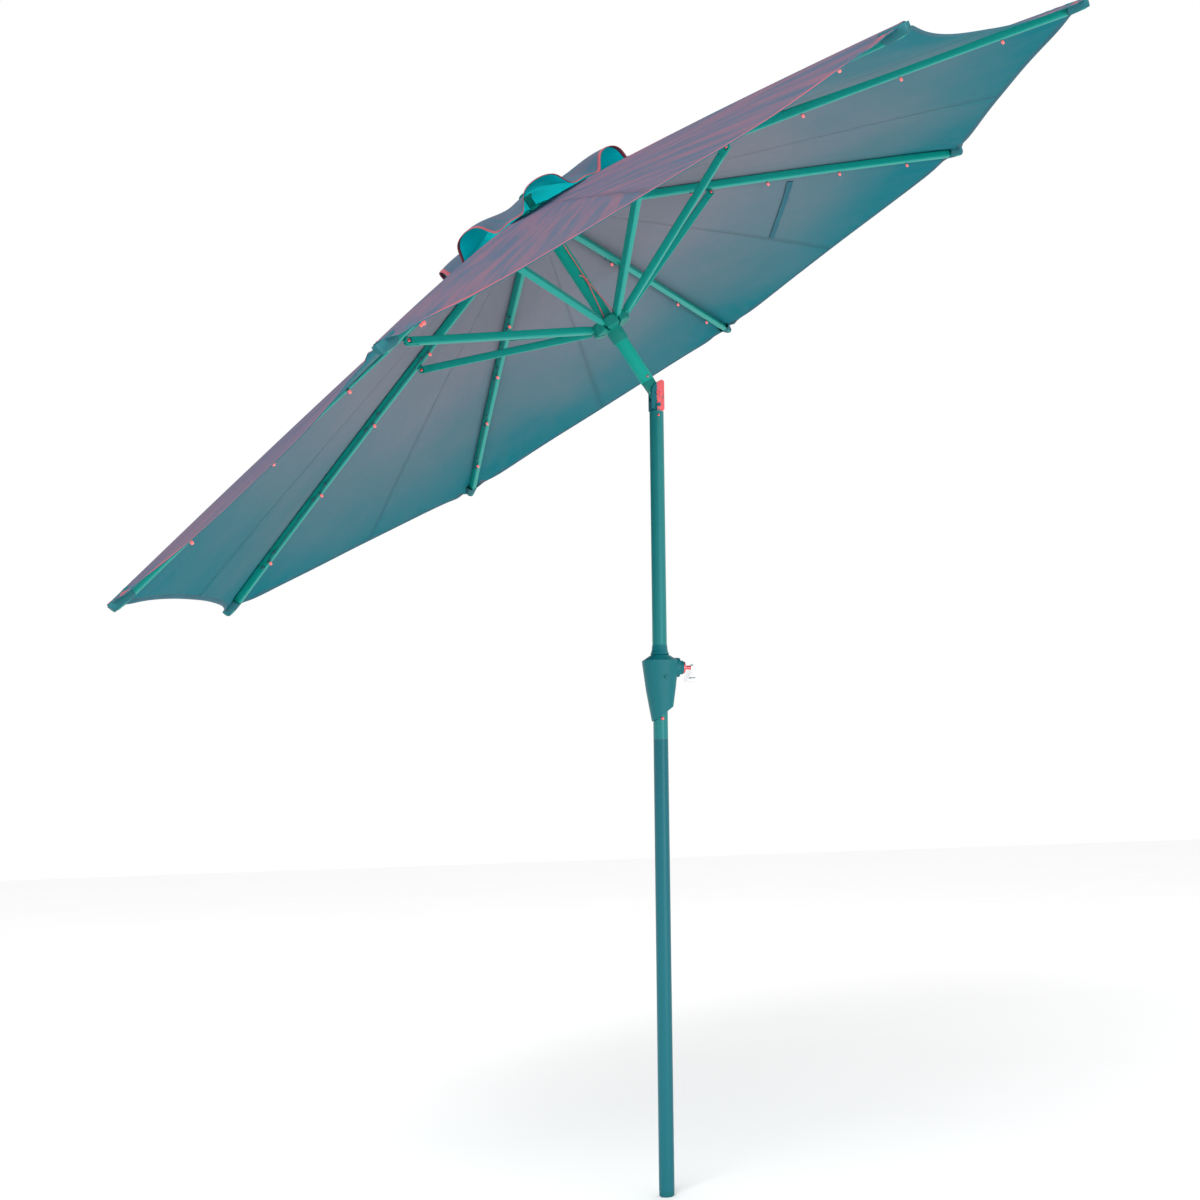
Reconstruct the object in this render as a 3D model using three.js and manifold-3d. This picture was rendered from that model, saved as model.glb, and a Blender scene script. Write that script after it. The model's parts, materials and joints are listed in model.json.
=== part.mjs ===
// A tilting market umbrella, open and tilted: a lower mast with its crank, a tilt joint, an upper
// mast with hub, runner and vent cap, and eight ribs, each with its strut, its share of the
// canopy and a string of lights.
// Millimetres. +Z runs up the lower pole, and the origin is the centre of the pole's foot.
// The mast above the tilt joint leans towards -X.
import * as THREE from 'three';
import { mergeVertices } from 'three/addons/utils/BufferGeometryUtils.js';
import loadManifold from 'manifold-3d';

const wasm = await loadManifold();
wasm.setup();

const deg = Math.PI / 180;

// ---- sizes that place the whole umbrella -------------------------------------------------------
const ribCount = 8;
const tiltHeight = 1920; // foot to tilt pivot
const tiltAngle = 34 * deg; // lean of the upper mast
const hubHeight = 544; // tilt pivot to rib pivots
const runnerHeight = 213; // tilt pivot to strut pivots
const ribSpan = 1396; // rib pivot to canopy tip, along the rib
const droopAtHub = 14.3 * deg; // slope of a rib where it leaves the hub
const droopAtTip = 16.5 * deg;
const strutJoint = 483; // rib pivot to strut rivet, along the rib
const firstRibAzimuth = -36.3 * deg;

// ---- clearances --------------------------------------------------------------------------------
const gap = 0.3; // between faces that bear on each other
const pinGap = 0.08; // radial, between a pin and its hole

// ---- poles -------------------------------------------------------------------------------------
const poleRadius = 18;
const poleWall = 1.5;
const poleBore = poleRadius - poleWall;
const poleSeam = 1045; // foot to the seam between lower and middle pole
const connectorBelow = 140; // connector length below the seam
const connectorAbove = 120;
const connectorWall = 1.5;
const plugHeight = 12;
const plugStem = 32;

// ---- lock button -------------------------------------------------------------------------------
const lockHeight = 1095;
const lockRadius = 4;
const lockProud = 3; // how far the button stands out of the pole
const lockDepth = 5; // how far it reaches inside the pole

// ---- crank -------------------------------------------------------------------------------------
const housingBottom = 1089; // lowest edge of the housing
const housingSlant = 38; // its bottom edge rises this much towards the crank
const housingTop = 1250;
const shoulderHeight = 1237;
const housingLeft = 44; // half widths away from and towards the crank, at the shoulder
const housingRight = 46;
const housingDepth = 34; // half depth at the shoulder
const housingBottomLeft = poleRadius + 3;
const housingBottomRight = 32;
const housingBottomDepth = poleRadius + 5;
const housingRoundness = 0.82; // 1 is an oval, and less is squarer
const collarRadius = poleRadius + 5;
const collarHeight = 25;
const crankHeight = 1222; // foot to the crank's axis
const bossRadius = 24;
const bossEnd = 48; // from the pole's axis
const neckRadius = 17;
const neckEnd = 58;
const spindleRadius = 5;
const spindleStart = poleRadius + 4;
const flangeRadius = 15;
const flangeThickness = 4;
const armSpacing = 16; // flange to arm, along the spindle
const armThickness = 5.5;
const armLength = 58;
const armAngle = -25 * deg; // below level, on the +Y side
const armRadius = 6;
const knobRadius = 6.5;
const knobLength = 27;
const knobPinRadius = 2.5;

// ---- tilt joint --------------------------------------------------------------------------------
const forkDepth = 47; // pivot down to the top of the middle pole
const forkStem = 42; // fork's plug inside the middle pole
const slotFloor = 20; // pivot down to the floor of the fork's slot
const tongueHalf = 11; // half thickness of the tongue
const tongueRadius = 16;
const upperPoleStart = 40; // pivot to the end of the upper pole
const tongueStem = 50;
const tongueScrewRise = 9; // upper pole's end to the screw, which the lowered runner stays above
const tiltPinRadius = 3;
const tiltPinHead = 5.5;
const tiltButtonRadius = 5;
const tiltButtonDrop = 31; // pivot down to the button's axis
const tiltButtonProud = 3.2;
const tiltButtonDepth = 6;

// ---- hub and runner ----------------------------------------------------------------------------
const ribPivotRadius = poleRadius + 13;
const hubRadius = ribPivotRadius + 15;
const hubBelow = 14; // hub's rim below and above the rib pivots
const hubAbove = 14;
const hubSleeveRadius = poleRadius + 5;
const hubSleeveDrop = 40;
const strutPivotRadius = poleRadius + 19.6;
const runnerRadius = strutPivotRadius + 14.4;
const runnerBelow = 14;
const runnerAbove = 15;
const sleeveRadius = poleRadius + 3.5;
const sleeveDrop = 53;
const wireRadius = 1.6;
const tabWidth = 5.2; // tabs of ribs and struts, in the slots
const tabRadius = 6;
const slotGap = 0.6; // each side of a tab
const slotRoot = 3; // between a tab's eye and the bottom of its slot
const looseEye = 1.3; // play of a strut's eye on the runner wire

// ---- ribs and struts ---------------------------------------------------------------------------
const ribHalfHeight = 10.5;
const ribWidth = 16;
const ribBodyStart = 22; // pivot to where the rib gets its full width
const ribTipGap = 12; // rib's end to the canopy tip
const strutHalfHeight = 9.5;
const strutWidth = 16;
const lugDrop = ribHalfHeight + strutHalfHeight + 1.5; // rib's centreline to the strut rivet
const lugWidth = 5;
const lugRadius = 8;
const rivetRadius = 2.5;
const strutBodyStart = 20;
const forkSlotLength = 24;

// ---- canopy ------------------------------------------------------------------------------------
const clothThickness = 2.4;
const clothLift = 2.5999999999999996; // clear space between rib and cloth
const ventHole = 128; // rib pivot to the edge of the vent hole, along the rib
const hemSag = 62; // how far the hem curves in between two tips
const hemDroop = 28; // how far it hangs below the straight line between them
const droopPower = 3;
const hemPower = 2.6; // straighter middle, quicker curve at the corners
const pocketLength = 55;
const pocketHalf = ribWidth / 2 + 7;
const capRadius = 288; // vent cap's edge
const capRise = 56; // rib pivots to the cap's crown, which a stem holds up
const capArch = 48; // how far its edge lifts between ribs
const capArchStart = 80; // radius where the arches begin
const capArchShare = 0.72; // part of a gore that its arch takes up
const capArchPower = 1.25; // of the cosine that shapes an arch
const capFlat = 18; // radius of the level top, on the stem
const capClear = 2.2; // cap above canopy at the ribs
const capHole = 8;
const capStem = 6.5;
const strapWidth = 22;
const strapThickness = 2;
const strapFrom = { s: 807, across: 0.17 }; // its two ends on the cloth of the second rib
const strapTo = { s: 997, across: 0.95 };
const strapClear = 1.6; // between the closing strap and the cloth above it

// ---- lights and cord ---------------------------------------------------------------------------
const lightFirst = 0.308 * ribSpan; // rib pivot to the innermost light, along the rib
const lightSpacing = 0.179 * ribSpan;
const lightCount = 4;
const lightRadius = 4;
const lightSide = ribWidth / 2 + 3.4; // from the rib's middle plane
const lightWire = 2.6;
const lightWireDrop = 9.6; // rib's centreline to the wire's lower side
const bulbTop = 5; // rib's centreline to the top and the bottom of a bulb
const bulbBottom = 23;
const cordRadius = 1.5;
const cordOut = poleRadius + 5; // cord from the mast's axis
const cordTop = 462; // tilt pivot to the hole where the cord leaves the pole
const cordKnot = 337;
const cordAzimuth = -82 * deg;
const cordSpread = 38 * deg; // each leg below the knot, to its side

// ---- helpers -----------------------------------------------------------------------------------
function bare(geometry) {
  for (const name of Object.keys(geometry.attributes)) {
    if (name !== 'position') geometry.deleteAttribute(name);
  }
  return mergeVertices(geometry, 1e-4);
}

function solid(geometry) {
  const g = bare(geometry);
  const vertProperties = new Float32Array(g.attributes.position.array);
  const triVerts = new Uint32Array(g.index.array);
  return new wasm.Manifold(new wasm.Mesh({ numProp: 3, vertProperties, triVerts }));
}

function geometryOf(body) {
  const mesh = body.getMesh();
  const g = new THREE.BufferGeometry();
  g.setAttribute('position', new THREE.BufferAttribute(Float32Array.from(mesh.vertProperties), 3));
  g.setIndex([...mesh.triVerts]);
  return g;
}

// One body from several: those in add are joined, then those in cut are taken away.
function combine(add, cut = []) {
  let body = solid(add[0]);
  for (const g of add.slice(1)) body = body.add(solid(g));
  for (const g of cut) body = body.subtract(solid(g));
  return geometryOf(body);
}

// A body of revolution about +Z from [radius, height] pairs.
function turned(profile, sides = 32) {
  const points = profile.map(([r, z]) => new THREE.Vector2(r, z));
  return new THREE.LatheGeometry(points, sides).rotateX(Math.PI / 2);
}

function tube(outer, inner, low, high, sides = 32) {
  const profile = [[inner, low], [outer, low], [outer, high], [inner, high], [inner, low]];
  return turned(profile, sides);
}

function rod(radius, low, high, sides = 24) {
  return turned([[0, low], [radius, low], [radius, high], [0, high]], sides);
}

// An outline of [x, z] pairs, made width thick and centred on the plane y = 0.
function plate(outline, width) {
  const shape = new THREE.Shape(outline.map(([x, z]) => new THREE.Vector2(x, z)));
  const g = new THREE.ExtrudeGeometry(shape, { depth: width, bevelEnabled: false });
  return g.translate(0, 0, -width / 2).rotateX(Math.PI / 2);
}

// A round pin along Y.
function crossPin(radius, length, x, z, sides = 14) {
  return new THREE.CylinderGeometry(radius, radius, length, sides).translate(x, 0, z);
}

function block(x0, x1, y0, y1, z0, z1) {
  const g = new THREE.BoxGeometry(x1 - x0, y1 - y0, z1 - z0);
  return g.translate((x0 + x1) / 2, (y0 + y1) / 2, (z0 + z1) / 2);
}

// A round cord through the given points.
function cordAlong(points, radius) {
  const section = new THREE.Shape();
  section.absarc(0, 0, radius, 0, 2 * Math.PI);
  const path = new THREE.CatmullRomCurve3(points.map((p) => new THREE.Vector3(...p)));
  const steps = 4 * (points.length - 1);
  const options = { steps, curveSegments: 3, extrudePath: path, bevelEnabled: false };
  return new THREE.ExtrudeGeometry(section, options);
}

// A thin sheet: place(u, v) gives its middle surface for u and v from 0 to 1.
function sheet(across, along, thickness, place) {
  const g = new THREE.BoxGeometry(1, 1, 1, across, along, 1);
  const at = g.attributes.position;
  for (let i = 0; i < at.count; i += 1) {
    const p = place(at.getX(i) + 0.5, at.getY(i) + 0.5);
    at.setXYZ(i, p.x, p.y, p.z + at.getZ(i) * thickness);
  }
  return g;
}

// A closed skin over rings that each have the same number of points.
function loft(rings) {
  const count = rings[0].length;
  const positions = rings.flat().flat();
  const index = [];
  for (let r = 0; r + 1 < rings.length; r += 1) {
    for (let i = 0; i < count; i += 1) {
      const a = r * count + i;
      const b = r * count + ((i + 1) % count);
      index.push(a, b, b + count, a, b + count, a + count);
    }
  }
  const top = (rings.length - 1) * count;
  for (let i = 1; i + 1 < count; i += 1) {
    index.push(0, i + 1, i);
    index.push(top, top + i, top + i + 1);
  }
  const g = new THREE.BufferGeometry();
  g.setAttribute('position', new THREE.Float32BufferAttribute(positions, 3));
  g.setIndex(index);
  return g;
}

function paint(name, colour, roughness, metalness) {
  const material = new THREE.MeshStandardMaterial({ color: colour, roughness, metalness });
  material.name = name;
  return material;
}

function add(parent, name, geometry, material) {
  const mesh = new THREE.Mesh(bare(geometry), material);
  mesh.name = name;
  parent.add(mesh);
}

// ---- the rib's centreline ----------------------------------------------------------------------
// In a rib's own frame: x out from the mast's axis, z up the mast from the rib pivot.
const bend = (droopAtTip - droopAtHub) / ribSpan;

function ribSlope(s) {
  return droopAtHub + bend * s;
}

// The point s along the rib and rise above its centreline.
function ribPoint(s, rise = 0) {
  const slope = ribSlope(s);
  const x = ribPivotRadius + (Math.sin(slope) - Math.sin(droopAtHub)) / bend;
  const z = (Math.cos(slope) - Math.cos(droopAtHub)) / bend;
  return [x + rise * Math.sin(slope), z + rise * Math.cos(slope)];
}

// The outline of a strip along the rib, from s = start to end, between two rises.
function ribStrip(start, end, low, high, steps = 8) {
  const upper = [];
  const lower = [];
  for (let i = 0; i <= steps; i += 1) {
    const s = start + ((end - start) * i) / steps;
    upper.push(ribPoint(s, high));
    lower.push(ribPoint(s, low));
  }
  return [...lower, ...upper.reverse()];
}

// ---- lower mast --------------------------------------------------------------------------------
function footPlug() {
  const stem = poleBore - gap;
  return turned([
    [0, 0], [poleRadius - 3, 0], [poleRadius - 0.6, 2.4], [poleRadius - 0.6, plugHeight],
    [stem, plugHeight], [stem, plugHeight + plugStem], [0, plugHeight + plugStem],
  ]);
}

function lowerPole() {
  return tube(poleRadius, poleBore, plugHeight + gap, poleSeam - gap / 2);
}

function crossHole(radius, height) {
  const g = new THREE.CylinderGeometry(radius, radius, poleRadius + 6, 20);
  return g.translate(0, -(poleRadius + 6) / 2, height);
}

function poleConnector() {
  const outer = poleBore - gap;
  const bottom = poleSeam - connectorBelow;
  const body = tube(outer, outer - connectorWall, bottom, poleSeam + connectorAbove);
  return combine([body], [crossHole(lockRadius + gap, lockHeight)]);
}

function middlePole() {
  const body = tube(poleRadius, poleBore, poleSeam + gap / 2, tiltHeight - forkDepth);
  return combine([body], [crossHole(lockRadius + gap, lockHeight)]);
}

function lockButton() {
  const tip = poleRadius + lockProud;
  const g = turned([
    [0, poleRadius - lockDepth], [lockRadius, poleRadius - lockDepth], [lockRadius, tip - 2],
    [lockRadius - 1.2, tip - 0.5], [0, tip],
  ], 20);
  return g.rotateX(Math.PI / 2).translate(0, 0, lockHeight);
}

// A ring of the housing: an oval from -left to right, half depth deep, raised by rise towards +X.
function housingRing(height, left, right, depth, rise = 0, count = 28) {
  const ring = [];
  for (let i = 0; i < count; i += 1) {
    const a = (2 * Math.PI * i) / count;
    const c = Math.cos(a);
    const s = Math.sin(a);
    const x = (right - left) / 2 + ((left + right) / 2) * Math.sign(c) * Math.abs(c) ** housingRoundness;
    const y = depth * Math.sign(s) * Math.abs(s) ** housingRoundness;
    ring.push([x, y, height + (rise * (x + left)) / (left + right)]);
  }
  return ring;
}

// A round rod along X at the crank's height.
function crankRod(radius, from, to, sides = 28) {
  return rod(radius, from, to, sides).rotateY(Math.PI / 2).translate(0, 0, crankHeight);
}

function crankHousing() {
  const mid = (housingBottom + shoulderHeight) / 2;
  const shell = loft([
    housingRing(
      housingBottom, housingBottomLeft, housingBottomRight, housingBottomDepth, housingSlant,
    ),
    housingRing(
      mid, (housingBottomLeft + housingLeft) / 2 + 2, (housingBottomRight + housingRight) / 2,
      (housingBottomDepth + housingDepth) / 2, housingSlant / 3,
    ),
    housingRing(shoulderHeight - 10, housingLeft - 1, housingRight - 1, housingDepth - 1),
    housingRing(shoulderHeight, housingLeft, housingRight, housingDepth),
    housingRing(shoulderHeight + 3, housingLeft - 4, housingRight - 4, housingDepth - 4),
    housingRing(housingTop, collarRadius + 2, collarRadius + 2, collarRadius + 2),
  ]);
  const bore = rod(poleRadius + gap, housingBottom - 10, housingTop + 10, 32);
  const spindleHole = crankRod(spindleRadius + gap, poleRadius + 2, neckEnd + 5);
  const boss = crankRod(bossRadius, poleRadius + 4, bossEnd);
  const neck = crankRod(neckRadius, poleRadius + 4, neckEnd);
  return combine([shell, boss, neck], [bore, spindleHole]);
}

// A lip just above the housing, then a flare that narrows up the pole.
function housingCollar() {
  const low = housingTop + gap;
  const high = low + collarHeight;
  const inner = poleRadius + gap;
  return turned([
    [inner, low], [collarRadius - 3, low], [collarRadius, low + 3], [collarRadius, low + 5],
    [collarRadius - 2.2, low + 9], [inner + 1.2, low + 16], [inner + 0.5, high], [inner, high],
    [inner, low],
  ]);
}

function crankSpindle() {
  const flange = crankRod(flangeRadius, neckEnd + gap, neckEnd + gap + flangeThickness);
  const shaft = crankRod(spindleRadius, spindleStart, armStart() + armThickness);
  return combine([shaft, flange]);
}

function armStart() {
  return neckEnd + flangeThickness + armSpacing;
}

function knobCentre() {
  return [armLength * Math.cos(armAngle), crankHeight + armLength * Math.sin(armAngle)];
}

function crankArm() {
  const shape = new THREE.Shape();
  shape.absarc(0, 0, armRadius + 3, Math.PI / 2, (3 * Math.PI) / 2);
  shape.absarc(armLength, 0, armRadius, -Math.PI / 2, Math.PI / 2);
  const options = { depth: armThickness, bevelEnabled: false, curveSegments: 8 };
  const bar = new THREE.ExtrudeGeometry(shape, options);
  const pin = rod(knobPinRadius, 1, armThickness + knobLength - 6).translate(armLength, 0, 0);
  const hole = rod(spindleRadius + gap, -1, armThickness + 1, 28);
  const arm = combine([bar, pin], [hole]);
  const turn = new THREE.Matrix4().makeBasis(
    new THREE.Vector3(0, Math.cos(armAngle), Math.sin(armAngle)),
    new THREE.Vector3(0, -Math.sin(armAngle), Math.cos(armAngle)),
    new THREE.Vector3(1, 0, 0),
  );
  return arm.applyMatrix4(turn).translate(armStart(), 0, crankHeight);
}

function crankKnob() {
  const bore = knobPinRadius + pinGap;
  const depth = knobLength - 5;
  const g = turned([
    [bore, 0], [knobRadius - 2, 0], [knobRadius - 0.6, 3], [knobRadius, knobLength / 2],
    [knobRadius - 0.4, knobLength - 4], [knobRadius - 2.5, knobLength - 1], [0, knobLength],
    [0, depth], [bore, depth], [bore, 0],
  ], 24);
  const [y, z] = knobCentre();
  return g.rotateY(Math.PI / 2).translate(armStart() + armThickness + gap, y, z);
}

function crossScrew(radius, length) {
  return turned([
    [0, 0], [radius * 0.5, 0], [radius * 0.5, length], [radius, length],
    [radius * 0.8, length + 1.1], [0, length + 1.6],
  ], 16);
}

function poleRivet() {
  return crossScrew(3.4, 0.4).rotateX(Math.PI / 2)
    .translate(0, -(poleRadius + gap), tiltHeight - forkDepth - 12);
}

function housingScrew() {
  return crossScrew(3.6, 0.4).rotateX(Math.PI / 2)
    .translate(6, -(housingDepth + gap), (housingTop + housingBottom) / 2 + 26);
}

// ---- tilt joint --------------------------------------------------------------------------------
function tiltFork() {
  const half = poleRadius - 0.6;
  const stem = rod(poleBore - gap, -forkDepth - forkStem, -slotFloor - 10, 32);
  const base = rod(half, -forkDepth + gap, -slotFloor - 1, 32);
  const cheeks = plate([
    [-half + 1, -forkDepth + 4], [half - 1, -forkDepth + 4], [half - 1, 30], [half - 4, 34],
    [8, 35], [-5, 27], [-13, 16], [-half + 1, 8],
  ], 2 * half - 1);
  const slot = block(-30, 30, -tongueHalf - 0.5, tongueHalf + 0.5, -slotFloor, 60);
  const hole = crossPin(tiltPinRadius + pinGap, 60, 0, 0);
  const buttonHole = new THREE.CylinderGeometry(tiltButtonRadius + gap, tiltButtonRadius + gap, 20, 20)
    .translate(2, -half - 10 + tiltButtonDepth + 3.6, -tiltButtonDrop);
  const body = combine([stem, base, cheeks], [slot, hole, buttonHole]);
  return body.translate(0, 0, tiltHeight);
}

function tiltPin() {
  const reach = poleRadius + 0.2;
  const shank = crossPin(tiltPinRadius, 2 * reach, 0, 0);
  const heads = [-1, 1].map((side) => {
    return crossPin(tiltPinHead, 2, 0, 0).translate(0, side * (reach + 0.7), 0);
  });
  return combine([shank, ...heads]).translate(0, 0, tiltHeight);
}

function tiltButton() {
  const face = poleRadius - 1.1;
  const g = turned([
    [0, 0], [tiltButtonRadius, 0], [tiltButtonRadius, tiltButtonDepth + tiltButtonProud - 1],
    [tiltButtonRadius - 1, tiltButtonDepth + tiltButtonProud], [0, tiltButtonDepth + tiltButtonProud],
  ], 20);
  return g.rotateX(Math.PI / 2).translate(2, -face + tiltButtonDepth, tiltHeight - tiltButtonDrop);
}

function tiltTongue() {
  const eye = crossPin(tongueRadius, 2 * tongueHalf, 0, 0, 32);
  const top = upperPoleStart - 2;
  const web = plate([[-13, 0], [13, 0], [14, top], [-14, top]], 2 * tongueHalf);
  const shoulder = rod(poleRadius - 0.6, upperPoleStart - 4, upperPoleStart - gap, 32);
  const stem = rod(poleBore - gap, upperPoleStart - 2, upperPoleStart + tongueStem, 32);
  return combine([eye, web, shoulder, stem], [crossPin(tiltPinRadius + pinGap, 60, 0, 0)]);
}

function tongueScrew() {
  return crossScrew(3, 0.4).rotateX(Math.PI / 2)
    .translate(0, -(poleRadius + gap), upperPoleStart + tongueScrewRise);
}

// ---- hub and runner ----------------------------------------------------------------------------
function azimuth(k) {
  return firstRibAzimuth + (2 * Math.PI * (k - 1)) / ribCount;
}

function everyAzimuth() {
  return Array.from({ length: ribCount }, (_, i) => azimuth(i + 1));
}

// Radial slots for the tabs, and the groove that the wire lies in.
function slotsAndGroove(pivotRadius, rim, low, high, pivot) {
  const half = tabWidth / 2 + slotGap;
  const root = pivotRadius - tabRadius - slotRoot;
  const slots = everyAzimuth().map((a) => {
    return block(root, rim + 5, -half, half, low - 1, high + 1).rotateZ(a);
  });
  const play = wireRadius + gap;
  const groove = tube(pivotRadius + play, pivotRadius - play, pivot - play, high + 5, 40);
  return [...slots, groove];
}

function topHub() {
  const low = hubHeight - hubBelow;
  const high = hubHeight + hubAbove;
  const inner = poleRadius + gap;
  const seat = high - 6; // the closed top rests on the pole's end
  const body = turned([
    [0, seat], [inner, seat], [inner, low - hubSleeveDrop], [hubSleeveRadius, low - hubSleeveDrop],
    [hubSleeveRadius, low - 6], [hubRadius - 3, low], [hubRadius, low + 3], [hubRadius, high - 3],
    [hubRadius - 2, high], [0, high],
  ], 40);
  const slots = slotsAndGroove(ribPivotRadius, hubRadius, low - 10, high, hubHeight);
  return combine([body], slots);
}

function upperPole() {
  const body = tube(poleRadius, poleBore, upperPoleStart, hubHeight + hubAbove - 6 - gap);
  const hole = new THREE.CylinderGeometry(cordRadius + 4, cordRadius + 4, 20, 16)
    .translate(0, -poleRadius, 0).rotateZ(cordAzimuth + Math.PI / 2).translate(0, 0, cordTop);
  return combine([body], [hole]);
}

function wireRing(radius, height) {
  return new THREE.TorusGeometry(radius, wireRadius, 8, 32).translate(0, 0, height);
}

function runner() {
  const low = runnerHeight - runnerBelow;
  const high = runnerHeight + runnerAbove;
  const inner = poleRadius + 0.5;
  const body = turned([
    [inner, low - sleeveDrop + 14], [sleeveRadius - 1, low - sleeveDrop + 14],
    [sleeveRadius, low - sleeveDrop + 17], [sleeveRadius, low - 6], [runnerRadius - 3, low],
    [runnerRadius, low + 3], [runnerRadius, high - 3], [runnerRadius - 3, high], [inner, high],
    [inner, low - sleeveDrop + 14],
  ], 40);
  const slots = slotsAndGroove(strutPivotRadius, runnerRadius, low - 10, high, runnerHeight);
  return combine([body], slots);
}

// The stem that stands on the hub, carries the cap between two shoulders and ends in a button.
function finial() {
  const base = hubHeight + hubAbove + gap;
  const under = capTop() - clothThickness / 2 - gap;
  const over = capTop() + clothThickness / 2 + gap;
  return turned([
    [0, base], [17, base], [17, base + 3], [10, base + 6], [10, under - 8], [capFlat - 2, under],
    [capStem, under], [capStem, over], [19, over], [20, over + 2], [16, over + 5], [0, over + 8],
  ], 24);
}

// ---- lift cord ---------------------------------------------------------------------------------
function mastPoint(radius, angle, height) {
  return [radius * Math.cos(angle), radius * Math.sin(angle), height];
}

function liftCord() {
  const bottom = runnerHeight + runnerAbove + gap;
  const knot = mastPoint(cordOut, cordAzimuth, cordKnot);
  const down = cordAlong([
    mastPoint(6, cordAzimuth, cordTop + 1), mastPoint(poleRadius, cordAzimuth, cordTop),
    mastPoint(cordOut, cordAzimuth, cordTop - 12), mastPoint(cordOut, cordAzimuth, cordTop - 60), knot,
  ], cordRadius);
  const legs = [-1, 1].map((side) => cordAlong([
    knot, mastPoint(cordOut + 1, cordAzimuth + side * cordSpread * 0.55, (cordKnot + bottom) / 2),
    mastPoint(cordOut + 4, cordAzimuth + side * cordSpread, bottom),
  ], cordRadius));
  const tail = cordAlong([
    knot, mastPoint(cordOut + 3, cordAzimuth - 14 * deg, cordKnot + 12),
    mastPoint(cordOut + 7, cordAzimuth - 26 * deg, cordKnot + 16),
  ], cordRadius);
  const ball = new THREE.SphereGeometry(3.6, 12, 8).translate(...knot);
  return combine([down, ...legs, tail, ball]);
}

// ---- ribs --------------------------------------------------------------------------------------
function rib() {
  const eye = crossPin(tabRadius, tabWidth, ribPivotRadius, 0);
  const tab = plate(ribStrip(0, ribBodyStart + 4, -tabRadius, tabRadius, 1), tabWidth);
  const end = ribSpan - ribTipGap;
  const body = plate(ribStrip(ribBodyStart, end, -ribHalfHeight, ribHalfHeight, 6), ribWidth);
  const [x, z] = ribPoint(strutJoint, -lugDrop);
  const lug = plate(ribStrip(strutJoint - lugRadius, strutJoint + lugRadius, -lugDrop, 0, 1), lugWidth);
  const lugEnd = crossPin(lugRadius, lugWidth, x, z);
  const wireHole = crossPin(wireRadius + gap, 20, ribPivotRadius, 0);
  const rivetHole = crossPin(rivetRadius + pinGap, 20, x, z);
  return combine([eye, tab, body, lug, lugEnd], [wireHole, rivetHole]);
}

function strut() {
  const [x1, z1] = ribPoint(strutJoint, -lugDrop);
  const z0 = runnerHeight - hubHeight;
  const dx = x1 - strutPivotRadius;
  const dz = z1 - z0;
  const length = Math.hypot(dx, dz);
  const h = strutHalfHeight;
  const eye = crossPin(tabRadius, tabWidth, 0, 0);
  const tab = block(0, strutBodyStart + 4, -tabWidth / 2, tabWidth / 2, -tabRadius + 1, tabRadius - 1);
  const body = block(strutBodyStart, length, -strutWidth / 2, strutWidth / 2, -h, h);
  const end = crossPin(h, strutWidth, length, 0, 16);
  const half = lugWidth / 2 + 0.4;
  const slot = block(length - forkSlotLength, length + 20, -half, half, -20, 20);
  const eyeHole = crossPin(wireRadius + looseEye, 20, 0, 0);
  const rivet = crossPin(rivetRadius, strutWidth + 2.4, length, 0);
  const bar = geometryOf(solid(combine([eye, tab, body, end], [slot, eyeHole])).add(solid(rivet)));
  return bar.rotateY(-Math.atan2(dz, dx)).translate(strutPivotRadius, 0, z0);
}

// ---- canopy ------------------------------------------------------------------------------------
// The cloth between this rib and its neighbour is stretched across, and hangs lower by the hem.
// across runs from -1 to 1, from the middle of one gore to the middle of the next; s runs out
// along the rib.
function clothPoint(s, across, rise) {
  const [x, z] = ribPoint(s);
  const step = (2 * Math.PI) / ribCount;
  const middle = x * Math.sin(step / 2) * Math.cos(step / 2);
  const share = 0.5 * Math.abs(across) * (1 - gap / 2 / middle);
  const px = x * (1 - share + share * Math.cos(step));
  const py = x * share * Math.sin(step) * Math.sign(across);
  const run = (s - ventHole) / (ribSpan - ventHole);
  const hang = hemDroop * (1 - (1 - Math.abs(across)) ** droopPower) * run ** 2;
  return new THREE.Vector3(px, py, z + rise - hang);
}

const clothRise = (ribHalfHeight + clothLift + clothThickness / 2) / Math.cos(droopAtTip);

function hemAt(across) {
  return ribSpan - hemSag * (1 - (1 - Math.abs(across)) ** hemPower);
}

function sector() {
  const cloth = sheet(7, 10, clothThickness, (u, v) => {
    const across = 2 * v - 1;
    const s = ventHole + (hemAt(across) - ventHole) * u;
    return clothPoint(s, across, clothRise);
  });
  const start = ribSpan - pocketLength;
  const wall = clothThickness;
  const high = ribHalfHeight + clothLift + wall - 0.2;
  const low = -ribHalfHeight - 1;
  const outer = plate(ribStrip(start, ribSpan - 3, low - wall, high, 2), 2 * pocketHalf);
  const hollow = ribStrip(start - 5, ribSpan - 3 - wall, low, high - wall, 2);
  const inner = plate(hollow, 2 * (pocketHalf - wall));
  const pocket = combine([outer], [inner]);
  return combine([cloth, pocket]);
}

function capTop() {
  return hubHeight + capRise;
}

// How far open a gore's arch is, from 0 beside the ribs to 1 midway.
function capOpening(angle) {
  const gore = (2 * Math.PI) / ribCount;
  const fromMiddle = Math.abs((((angle % gore) + gore) % gore) / gore - 0.5);
  return Math.max(0, Math.cos((Math.PI * fromMiddle) / capArchShare)) ** capArchPower;
}

// Height of the cap's middle surface at a radius and an angle from the nearest rib.
function capHeight(radius, angle) {
  const atRib = ribPoint(capRadius - ribPivotRadius)[1] + clothRise + clothThickness + capClear;
  const edge = hubHeight + atRib;
  const t = Math.max(0, (radius - capFlat) / (capRadius - capFlat));
  const lift = THREE.MathUtils.smoothstep(radius, capArchStart, capRadius * 1.05);
  return capTop() + (edge - capTop()) * t + capArch * lift * capOpening(angle);
}

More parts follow.
